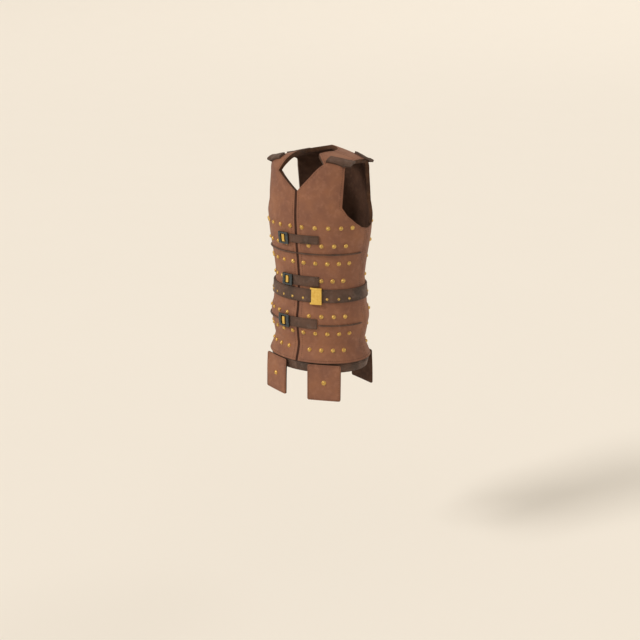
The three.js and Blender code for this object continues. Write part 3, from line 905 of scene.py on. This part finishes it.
def back_grid(columns):
    """Both halves of the back in one grid, parted above the neck."""
    right, left = (half_rows(False, side, columns) for side in (-1, 1))
    wide = 2 * columns + 1
    points, normals, faces = [], [], []
    for right_row, left_row in zip(right, left):
        for seat in [*reversed(right_row), *left_row[1:]]:
            points.append(moved(seat))
            normals.append(seat[3])
    # Above the neck the two straps have an inner edge point each.
    inner = {}
    for r, row in enumerate(left):
        if row[0][2].x > 0.01:
            inner[r] = len(points)
            points.append(moved(row[0]))
            normals.append(row[0][3])
    for r in range(len(left) - 1):
        for c in range(wide - 1):
            a, d = r * wide + c, (r + 1) * wide + c
            b, e = a + 1, d + 1
            if c == columns:
                a, d = inner.get(r, a), inner.get(r + 1, d)
            faces.append((a, b, e, d))
    return left, points, normals, faces


def panel(name, front, side, columns):
    """Front panel on one side, or the whole back, with its flat width, length and area."""
    rows, points, normals, faces = front_grid(side, columns) if front else back_grid(columns)
    widest = max(span_of([seat[2] for seat in row]) for row in rows)
    tall = span_of([row[columns][2] for row in rows])
    leathers = [MATERIALS["cover"], MATERIALS["backing"], MATERIALS["edge"]]
    obj = shell(name, points, normals, faces, NECK_WALL, leathers, bevel=0.9, depth=wall_at)
    return obj, widest * (1 if front else 2), tall, area_of(points, faces)


class VestSettings(bpy.types.PropertyGroup):
    """Sizes and colours of the vest."""
    panel_columns: bpy.props.IntProperty(
        name="Panel Columns", description="Columns of faces across half a panel", default=56)
    rivet_radius: bpy.props.FloatProperty(
        name="Rivet Radius", description="Radius of a rivet head", default=0.006,
        unit="LENGTH", subtype="DISTANCE")
    rivet_height: bpy.props.FloatProperty(
        name="Rivet Height", description="Height of a rivet head", default=0.005,
        unit="LENGTH", subtype="DISTANCE")
    stitch_pitch: bpy.props.FloatProperty(
        name="Stitch Pitch", description="Distance between stitches", default=0.007,
        unit="LENGTH", subtype="DISTANCE")
    thread_width: bpy.props.FloatProperty(
        name="Thread Width", description="Width of the sewing thread", default=0.0011,
        unit="LENGTH", subtype="DISTANCE")
    cover_colour: bpy.props.StringProperty(
        name="Cover Colour", description="Colour of the cover leather, sRGB", default="#8F6046")
    dark_colour: bpy.props.StringProperty(
        name="Dark Leather Colour", description="Colour of belt and straps, sRGB",
        default="#66493B")


class StageSettings(bpy.types.PropertyGroup):
    """Camera, floor and lights."""
    camera_place: bpy.props.FloatVectorProperty(
        name="Camera Place", description="Where the camera stands", subtype="XYZ",
        unit="LENGTH", default=(1.7046, -2.6320, 0.3896))
    camera_tilt: bpy.props.FloatProperty(
        name="Camera Tilt", description="Camera angle up from straight down", subtype="ANGLE",
        unit="ROTATION", default=math.radians(73.2654))
    camera_turn: bpy.props.FloatProperty(
        name="Camera Turn", description="Camera angle round the body", subtype="ANGLE",
        unit="ROTATION", default=math.radians(32.93))
    camera_lens: bpy.props.FloatProperty(
        name="Camera Lens", description="Focal length on a 36 mm sensor, mm", default=54.44)
    floor_level: bpy.props.FloatProperty(
        name="Floor Level", description="Height of the floor", default=-1.444,
        unit="LENGTH", subtype="DISTANCE")
    floor_colour: bpy.props.StringProperty(
        name="Floor Colour", description="Colour of the floor, sRGB", default="#E8E4DE")


class VEST_OT_panels(bpy.types.Operator):
    """Build the two fronts and the back."""
    bl_idname = "vest.panels"
    bl_label = "Body Panels"

    def execute(self, context):
        settings = context.scene.vest
        for name, front, side in (("front_left", True, 1), ("front_right", True, -1),
                                  ("back", False, 1)):
            obj, span, tall, area = panel(f"{name}_panel", front, side, settings.panel_columns)
            settle(obj, "cover_leather", name)
            cut(span, tall, area)
        return {"FINISHED"}


class VEST_OT_rivets(bpy.types.Operator):
    """Set the brass rivets into the cover and the belt."""
    bl_idname = "vest.rivets"
    bl_label = "Rivets and Studs"

    def execute(self, context):
        settings = context.scene.vest
        radius, height = settings.rivet_radius / MM, settings.rivet_height / MM
        for name, front, side in (("front_left", True, 1), ("front_right", True, -1),
                                  ("back_left", False, 1), ("back_right", False, -1)):
            obj = heads(f"{name}_rivets", rivet_seats(front, side), radius, height)
            settle(obj, "brass")
        seats = []
        for face in (0, 180):
            for i in range(BELT_STUDS):
                angle = face + (i - (BELT_STUDS - 1) / 2) * RIVET_STEP
                # The plate takes the place of one stud.
                if abs(angle - 1.5 * RIVET_STEP) > 1:
                    seats.append(body_seat(angle, BELT_STUD_Z, LAY + STRAP_THICK))
        settle(heads("belt_studs", seats, *BELT_STUD), "brass")
        return {"FINISHED"}


class VEST_OT_trims(bpy.types.Operator):
    """Build the placket, the welts and the hem band."""
    bl_idname = "vest.trims"
    bl_label = "Placket, Welts and Hem Band"

    def execute(self, context):
        dark = [MATERIALS["dark"]]
        self.placket()
        for name, z, inner in WELTS:
            gap = 1 if inner > 1 else 0
            self.welt(f"welt_{name}_left", z, inner, WELT_REACH)
            self.welt(f"welt_{name}_right", z, -WELT_REACH, -inner - gap)
            self.welt(f"welt_{name}_back", z, 180 - WELT_BACK_REACH, 180 + WELT_BACK_REACH)
        for name, start, end in HEM_BAND_ENDS:
            columns = round((end - start) / 1.6)
            heights = levels(HEM_BAND["levels"], 4)
            points, normals = [], []
            for z in heights:
                for c in range(columns + 1):
                    point, normal = body_seat(mix(start, end, c / columns), z, -WALL - LAY)
                    points.append(point)
                    normals.append(normal)
            faces = grid_faces(len(heights) - 1, columns)
            band = shell(f"hem_band_{name}_leather", points, normals, faces, HEM_BAND["thick"],
                         dark, bevel=1.1)
            settle(band, "dark_leather", f"hem_band_{name}")
            across = span_of(points[:columns + 1])
            tall = HEM_BAND["tall"] * MM
            cut(across, tall, area_of(points, faces))
        return {"FINISHED"}

    def placket(self):
        """A flat base behind the front edges and a rounded rib between them."""
        heights = levels([PLACKET["low"], V_Z - 1], 6)
        points, normals = [], []
        for z in heights:
            for share in (-1, 0, 1):
                angle = share * degrees_at(PLACKET["half"], z)
                point, normal = body_seat(angle, z, -wall_at(z) - 2 * GAP)
                points.append(point)
                normals.append(normal)
        faces = grid_faces(len(heights) - 1, 2)
        look = [MATERIALS["placket"]]
        base = shell("placket_base", points, normals, faces, PLACKET["thick"], look, bevel=0.5)
        area, tall = area_of(points, faces), span_of(points[::3])
        heights = levels([HEM_Z, V_Z - 1], 5)
        half = OPENING / 2 - GAP
        points, normals = [], []
        for z in heights:
            for share in (-1, -0.5, 0, 0.5, 1):
                crown = PLACKET["rib"] + PLACKET["crown"] * (1 - share * share)
                point, normal = body_seat(share * degrees_at(half, z), z, crown)
                points.append(point)
                normals.append(normal)
        faces = grid_faces(len(heights) - 1, 4)
        rib = shell("placket_rib", points, normals, faces, NECK_WALL, look, bevel=0.9,
                    depth=wall_at)
        placket = join("front_placket_leather", [base, rib])
        settle(placket, "placket_leather", "front_placket")
        wide, area = PLACKET["flat"] * MM, area + PLACKET["rib_area"]
        cut(wide, tall, area)

    def welt(self, name, z, start, end):
        """A rolled strip of leather, half round."""
        count = max(8, round((end - start) / 1.4))
        sides = WELT["sides"]
        points, faces = [], []
        for c in range(count + 1):
            angle = mix(start, end, c / count)
            taper = min(1.0, WELT["end"] + WELT["grow"] * min(c, count - c) / WELT["steps"])
            # Sewn on by hand, it wanders a little up and down.
            wave = 0.15 * math.sin(c * 0.9) + 0.1 * math.sin(c * 0.37 + 1)
            for i in range(sides):
                a = math.pi * i / (sides - 1)
                rise = LAY + (WELT["foot"] + WELT["rise"] * math.sin(a)) * taper
                level = z + wave + WELT["half"] * math.cos(a) * taper
                points.append(body_seat(angle, level, rise)[0])
        for c in range(count):
            for i in range(sides):
                j = (i + 1) % sides
                a, b = c * sides + i, c * sides + j
                faces.append((a, b, b + sides, a + sides))
        faces.append(tuple(range(sides - 1, -1, -1)))
        faces.append(tuple(range(count * sides, (count + 1) * sides)))
        obj = new_object(f"{name}_leather", points, faces)
        mid = points[(count // 2) * sides + sides // 2]
        face = obj.data.polygons[(count // 2) * sides + sides // 2]
        if face.normal.dot(Vector((mid.x, mid.y, 0))) < 0:
            obj.data.flip_normals()
        rim = obj.data.attributes.new("rim", "FLOAT", "POINT")
        rim.data.foreach_set("value", [0.0] * len(points))
        obj.data.materials.append(MATERIALS["dark"])
        smooth(obj, 60)
        settle(obj, "dark_leather", name)


class VEST_OT_belt(bpy.types.Operator):
    """Build the waist belt and its brass plate."""
    bl_idname = "vest.belt"
    bl_label = "Belt"

    def execute(self, context):
        look = [MATERIALS["dark"]]
        top = LAY + STRAP_THICK
        belt = laid("belt_leather", BELT["start"], BELT["end"], BELT["low"], BELT["high"], LAY,
                    STRAP_THICK, look, 220, 8, bevel=1.3, reach=7)
        settle(belt, "dark_leather", "belt")
        points, _ = laid_grid(BELT["start"], BELT["end"], BELT["middle"], BELT["middle"] + 1, top,
                              120, 1)
        wide, run = BELT_CUT_WIDE * MM, span_of(points[:121])
        cut(wide, run, wide * run)
        brass = [MATERIALS["brass"]]
        face = laid("plate_face", BELT_PLATE["start"], BELT_PLATE["end"], BELT_PLATE["low"],
                    BELT_PLATE["high"], top + LAY, 6, brass, 10, 12, bevel=1.6, segments=4)
        lips = []
        for low, high in ((BELT_PLATE["low"], BELT["low"] - GAP),
                          (BELT["high"] + GAP, BELT_PLATE["high"])):
            lips.append(laid("plate_lip", PLATE_LIP_START, BELT_PLATE["end"], low, high, 1,
                             top + LAY + 3, brass, 10, 2, bevel=1.1, segments=3))
        settle(join("belt_plate_brass", [face, *lips]), "brass", "belt_plate")
        return {"FINISHED"}


class VEST_OT_closures(bpy.types.Operator):
    """Build the three front closures."""
    bl_idname = "vest.closures"
    bl_label = "Front Closures"

    def execute(self, context):
        on_strap = LAY + STRAP_THICK + LAY
        for i, closure in enumerate(CLOSURES, 1):
            low, high, left, right, frame_wide, frame_low, frame_high = closure
            tail = left - STRAP_TAIL
            strap = laid(f"closure_strap_{i}_leather", tail, right, low, high, LAY, STRAP_THICK,
                         [MATERIALS["dark"]], 40, 10, bevel=1.3, reach=6)
            settle(strap, "dark_leather", f"closure_strap_{i}")
            points, _ = laid_grid(tail, right, low, high, LAY + 2, 40, 1)
            wide, tall = span_of(points[:41]), (high - low) * MM
            cut(wide, tall, wide * tall)
            rim = degrees_at(FRAME_RIM, low)
            columns, rows = 16, 14
            rim_columns = max(1, round(columns * rim / frame_wide))
            rim_rows = max(1, round(rows * FRAME_RIM_Z / (frame_high - frame_low)))

            def window(r, c):
                return (rim_columns <= c < columns - rim_columns
                        and rim_rows <= r < rows - rim_rows)

            ring = laid(f"closure_frame_{i}_steel", left, left + frame_wide, frame_low, frame_high,
                        on_strap, FRAME_THICK, [MATERIALS["gunmetal"]], columns, rows,
                        skip=window, bevel=1.5, segments=3)
            settle(ring, "gunmetal", f"closure_frame_{i}")
            middle = left + frame_wide / 2
            wide = degrees_at(BAR_WIDE / 2, low)
            level = (frame_low + frame_high) / 2
            bar = laid(f"closure_bar_{i}_brass", middle - wide, middle + wide,
                       level - BAR_TALL / 2, level + BAR_TALL / 2, on_strap, FRAME_THICK - 0.5,
                       [MATERIALS["brass"]], 5, 8, bevel=1.2, segments=3)
            settle(bar, "brass", f"closure_bar_{i}")
        return {"FINISHED"}


def tasset_place():
    """Centre and directions of the front left tasset, set against the hem band."""
    yaw, tilt = math.radians(TASSET["yaw"]), math.radians(TASSET["tilt"])
    across = Vector((math.cos(yaw), math.sin(yaw), 0))
    flat = Vector((math.sin(yaw), -math.cos(yaw), 0))
    up = Vector((0, 0, math.cos(tilt))) - flat * math.sin(tilt)
    out = across.cross(up).normalized()
    reach = max(body_seat(5 + 0.5 * i, z, -WALL - LAY)[0].dot(out)
                for i in range(130) for z in HEM_BAND["levels"][:4]
                if z < TASSET["middle"] + TASSET["tall"] / 2)
    away = (reach + GAP + TASSET["thick"] / 2 - TASSET["middle"] * out.z) / out.dot(flat)
    centre = flat * away + across * TASSET["aside"]
    centre.z = TASSET["middle"]
    return centre, across, up, out


def tasset_ring(inset):
    """Outline of a tasset, `inset` mm in from its edge, from its middle."""
    wide, tall = TASSET["wide"] / 2 - inset, TASSET["tall"] / 2 - inset
    corner = max(TASSET["round"] - inset, 0.6)
    ring = []
    for sx, sy, start in ((1, 1, 0), (-1, 1, 90), (-1, -1, 180), (1, -1, 270)):
        for i in range(CORNER_POINTS):
            a = math.radians(start + 90 / (CORNER_POINTS - 1) * i)
            ring.append((sx * (wide - corner) + corner * math.cos(a),
                         sy * (tall - corner) + corner * math.sin(a)))
        # Points along the straight side that follows.
        end = math.radians(start + 90)
        last = ring[-1]
        nx, ny = ((-1, 1), (-1, -1), (1, -1), (1, 1))[start // 90]
        first = (nx * (wide - corner) + corner * math.cos(end),
                 ny * (tall - corner) + corner * math.sin(end))
        for k in range(1, SIDE_POINTS):
            share = k / SIDE_POINTS
            ring.append((mix(last[0], first[0], share), mix(last[1], first[1], share)))
    return ring


def tasset_bow(u, v, n):
    """How far the face of tasset `n` lies behind its middle."""
    bow = TASSET_BOW
    aside = (u / (TASSET["wide"] / 2)) ** 2
    height = (1 - aside) * bow["middle"] + bow["side"] * math.sin(v / bow["ripple"] + n) * aside
    height -= bow["middle"]
    return height * bow["share"]


class VEST_OT_tassets(bpy.types.Operator):
    """Hang the four tassets, each with its stud."""
    bl_idname = "vest.tassets"
    bl_label = "Tassets"

    def execute(self, context):
        centre, across, up, out = tasset_place()
        half = TASSET["thick"] / 2
        insets = TASSET_INSETS
        wide, tall = TASSET["wide"] * MM, TASSET["tall"] * MM
        corners = (4 - math.pi) * (TASSET["round"] * MM) ** 2
        for n, (name, sx, sy) in enumerate(PLACES):
            points, faces = [], []
            for inset in insets:
                for u, v in tasset_ring(inset):
                    p = centre + across * u + up * v + out * (half + tasset_bow(u, v, n))
                    points.append(Vector((p.x * sx, p.y * sy, p.z)))
            count = len(points) // len(insets)
            for k in range(len(insets) - 1):
                for i in range(count):
                    j = (i + 1) % count
                    a, b = k * count + i, k * count + j
                    faces.append((a, b, b + count, a + count))
            middle = len(points)
            p = centre + out * half
            points.append(Vector((p.x * sx, p.y * sy, p.z)))
            last = (len(insets) - 1) * count
            for i in range(0, count, 2):
                faces.append((middle, last + i, last + (i + 1) % count, last + (i + 2) % count))
            face_out = Vector((out.x * sx, out.y * sy, out.z))
            normals = [face_out] * len(points)
            a, b, c, _ = faces[0]
            order = (points[b] - points[a]).cross(points[c] - points[a]).dot(face_out)
            tail = (points[last] - points[middle]).cross(points[last + 1] - points[middle])
            if order * tail.dot(face_out) < 0:
                faces = [f if f[0] != middle else tuple(reversed(f)) for f in faces]
            plate = shell(f"tasset_{name}_leather", points, normals, faces, TASSET["thick"],
                          [MATERIALS["cover"], MATERIALS["backing"], MATERIALS["edge"]],
                          bevel=1.5, reach=8)
            settle(plate, "cover_leather", f"tasset_{name}")
            cut(wide, tall, wide * tall - corners)
            seat = centre + out * half
            seat = Vector((seat.x * sx, seat.y * sy, seat.z))
            stud = heads(f"tasset_stud_{name}_brass", [(seat, face_out)], *STUD)
            settle(stud, "brass", f"tasset_stud_{name}")
        return {"FINISHED"}


def shoulder_at(x, y):
    """Point on the shoulder above a place in the plan."""
    half = through(BODY, YOKE_Z)
    hold = min(x, STRAP_OUT_X - 4)
    deep = DEPTH_RATIO * math.sqrt(half * half - hold * hold)
    share = min(abs(y) / deep, 0.99)
    ridge = RIDGE_Z - RIDGE_DROP * (x - NECK_SIDE_X)
    s = (1 - share ** YOKE_POWER) ** (1 / YOKE_POWER)
    return Vector((x, y, YOKE_Z + (ridge - YOKE_Z) * s))


def tab_grid(columns, rows, by, inset=0.0):
    """Points and normals across the front left tab, `inset` mm in from its edge."""
    points, normals = [], []
    for r in range(rows + 1):
        for c in range(columns + 1):
            x = mix(TAB["start"] + inset, TAB["end"] - inset, c / columns)
            (x0, y0), (x1, y1) = TAB_LINE[:2] if x < TAB_LINE[1][0] else TAB_LINE[1:]
            middle = -mix(y0, y1, (x - x0) / (x1 - x0))
            rise = shoulder_at(x, middle + 0.5).z - shoulder_at(x, middle - 0.5).z
            reach = (TAB["wide"] / 2 - inset) / math.hypot(1, rise)
            y = middle + mix(-reach, reach, r / rows)
            normal = normal_of(shoulder_at, x, y, Vector((0, 0, 1)))
            points.append(shoulder_at(x, y) + normal * by)
            normals.append(normal)
    return points, normals


class VEST_OT_tabs(bpy.types.Operator):
    """Lay the four leather tabs over the shoulders."""
    bl_idname = "vest.tabs"
    bl_label = "Shoulder Tabs"

    def execute(self, context):
        columns, rows = 30, 12
        points, normals = tab_grid(columns, rows, LAY + TAB["thick"])
        faces = grid_faces(rows, columns)
        first = shell("shoulder_tab_front_left_leather", points, normals, faces, TAB["thick"],
                      [MATERIALS["dark"]], bevel=1.6, reach=6)
        middle = (columns + 1) * rows // 2
        run, width = span_of(points[middle:middle + columns + 1]), TAB["wide"] * MM
        for name, sx, sy in PLACES:
            tab = first if sx == sy == 1 else mirrored(
                first, f"shoulder_tab_{name}_leather", sx, sy)
            settle(tab, "dark_leather", f"shoulder_tab_{name}")
            cut(run, width, run * width)
        return {"FINISHED"}


def mirrored_line(line, sx, sy):
    return [Vector((p.x * sx, p.y * sy, p.z)) for p in line]


def seat_inside(row, inset, from_outer):
    """The first seat of a row that lies `inset` mm in from its outer or inner edge."""
    order = row[::-1] if from_outer else row
    gone = 0.0
    for a, b in zip(order, order[1:]):
        gone += (b[2] - a[2]).length
        if gone >= inset:
            return b
    return order[-1]


def panel_seams(front, side):
    """Stitch lines just inside the edges of a panel half."""
    columns = 48
    rows = [row for row in half_rows(front, side, columns) if row[0][1] > HEM_Z + SEAM_INSET]
    sewn = [(True, rows), (False, rows if front else [r for r in rows if abs(r[0][2].x) > 6])]
    lines = []
    for from_outer, used in sewn:
        seats = [seat_inside(row, SEAM_INSET, from_outer) for row in used]
        lines.append([moved(seat) + seat[3] * STITCH_LIFT for seat in seats])
    z = HEM_Z + SEAM_INSET + 1
    start = degrees_at(OPENING / 2, z) + 2 if front else 0.0
    hem = []
    for i in range(HEM_SEAM_POINTS):
        angle = side * mix(start, side_angle(z) - 2, i / (HEM_SEAM_POINTS - 1))
        angle = angle if front else 180 - angle
        point, normal = body_seat(angle, z)
        hem.append(moved((angle, z, point, normal)) + normal * STITCH_LIFT)
    return [*lines, hem]


def strip_lines(start, end, low, high, by, inset, ends=True):
    """Stitch lines just inside the edges of a strip on the body."""
    lines = []
    count = max(6, round((end - start) / 2))
    turn = degrees_at(inset, low)
    for z in (low + inset, high - inset):
        lines.append([body_seat(mix(start + turn, end - turn, i / count), z, by)[0]
                      for i in range(count + 1)])
    if ends:
        lines.append([body_seat(end - turn, mix(low + inset, high - inset, i / 4), by)[0]
                      for i in range(5)])
    return lines


class VEST_OT_stitching(bpy.types.Operator):
    """Sew the edges of the panels, straps, tabs and tassets."""
    bl_idname = "vest.stitching"
    bl_label = "Stitching"

    def execute(self, context):
        settings = context.scene.vest
        for name, front in (("front", True), ("back", False)):
            lines = panel_seams(front, 1) + panel_seams(front, -1)
            settle(stitches(f"{name}_stitching", lines, settings), "dark_leather")
        top = LAY + STRAP_THICK + STITCH_LIFT
        start, end = BELT["start"] + SEAM_FREE["belt_start"], BELT["end"] - SEAM_FREE["belt_end"]
        lines = strip_lines(start, end, BELT["low"], BELT["high"], top, SEAM_IN["belt"], ends=False)
        for low, high, left, right, frame_wide, *_ in CLOSURES:
            start = left + frame_wide + SEAM_FREE["frame"]
            lines += strip_lines(start, right, low, high, top, SEAM_IN["strap"])
        settle(stitches("strap_stitching", lines, settings), "dark_leather")
        centre, across, up, out = tasset_place()
        lines = []
        ring = tasset_ring(SEAM_IN["tasset"])
        ring.append(ring[0])
        face = out * (TASSET["thick"] / 2 - 0.3)
        points, _ = tab_grid(24, 8, LAY + TAB["thick"] + STITCH_LIFT, SEAM_IN["tab"])
        # The grid's rim: one long side, an end, the other long side and the other end.
        rim = points[:25] + points[49::25] + points[-2:-26:-1] + points[-50::-25]
        for _, sx, sy in PLACES:
            line = [centre + across * u + up * v + face for u, v in ring]
            lines.append(mirrored_line(line, sx, sy))
            lines.append(mirrored_line(rim, sx, sy))
        settle(stitches("tasset_and_tab_stitching", lines, settings), "dark_leather")
        return {"FINISHED"}


class VEST_OT_stage(bpy.types.Operator):
    """Set up the floor, the lights and the camera."""
    bl_idname = "vest.stage"
    bl_label = "Stage"

    def execute(self, context):
        stage = context.scene.vest_stage
        self.floor(stage)
        for name, place, size, power, colour in LIGHTS:
            light = bpy.data.lights.new(name, "SUN")
            light.angle = math.radians(size)
            light.energy = power
            light.color = colour
            lamp = bpy.data.objects.new(name, light)
            lamp.location = place
            aim = Vector(LIGHT_AIM) - Vector(place)
            lamp.rotation_euler = aim.to_track_quat("-Z", "Y").to_euler()
            context.scene.collection.objects.link(lamp)
        world = bpy.data.worlds.new("studio")
        world.use_nodes = True
        back = world.node_tree.nodes["Background"]
        back.inputs["Color"].default_value = linear(SKY_COLOUR)
        # Above the floor's far edge the backdrop looks as bright as the floor.
        sky = Tree(world.node_tree)
        seen = sky.node("ShaderNodeLightPath").outputs["Is Camera Ray"]
        sky.link(ranged(sky, seen, 0, 1, SKY_LIGHT, SKY_SEEN), back.inputs["Strength"])
        context.scene.world = world
        camera = bpy.data.cameras.new("camera")
        camera.lens = stage.camera_lens
        camera.sensor_width = SENSOR_WIDTH
        eye = bpy.data.objects.new("camera", camera)
        eye.location = stage.camera_place
        eye.rotation_euler = (stage.camera_tilt, 0, stage.camera_turn)
        context.scene.collection.objects.link(eye)
        context.scene.camera = eye
        context.scene.view_settings.view_transform = "Standard"
        return {"FINISHED"}

    def floor(self, stage):
        """A wide round floor that turns up smoothly at its far edge."""
        sides = FLOOR_SIDES
        points, faces = [], []
        for radius, height in FLOOR_PROFILE:
            for i in range(sides):
                a = 2 * math.pi * i / sides
                points.append(Vector((radius * math.cos(a), radius * math.sin(a),
                                      stage.floor_level + height)) / MM)
        for k in range(len(FLOOR_PROFILE) - 1):
            low, high = k * sides, (k + 1) * sides
            for i in range(sides):
                j = (i + 1) % sides
                faces.append((low + i, high + i, high + j, low + j))
        floor = new_object("floor", points, faces)
        floor.data.materials.append(plain_floor("floor_paint", stage.floor_colour))
        smooth(floor, 80)


class VEST_PT_panel(bpy.types.Panel):
    """Vest pieces in the sidebar"""
    bl_label = "Leather Brigandine Vest"
    bl_space_type = "VIEW_3D"
    bl_region_type = "UI"
    bl_category = "Vest"

    def draw(self, context):
        for settings in (context.scene.vest, context.scene.vest_stage):
            for key in settings.__annotations__:
                self.layout.prop(settings, key)
        for operator in OPERATORS:
            self.layout.operator(operator.bl_idname)


OPERATORS = (
    VEST_OT_panels, VEST_OT_rivets, VEST_OT_trims, VEST_OT_belt, VEST_OT_closures,
    VEST_OT_tassets, VEST_OT_tabs, VEST_OT_stitching, VEST_OT_stage,
)
CLASSES = (VestSettings, StageSettings, *OPERATORS, VEST_PT_panel)


def register():
    for cls in CLASSES:
        bpy.utils.register_class(cls)
    bpy.types.Scene.vest = bpy.props.PointerProperty(type=VestSettings)
    bpy.types.Scene.vest_stage = bpy.props.PointerProperty(type=StageSettings)


def unregister():
    del bpy.types.Scene.vest_stage
    del bpy.types.Scene.vest
    for cls in reversed(CLASSES):
        bpy.utils.unregister_class(cls)


def main():
    register()
    make_materials(bpy.context.scene.vest)
    for operator in OPERATORS:
        group, name = operator.bl_idname.split(".")
        getattr(getattr(bpy.ops, group), name)()


if __name__ == "__main__":
    main()
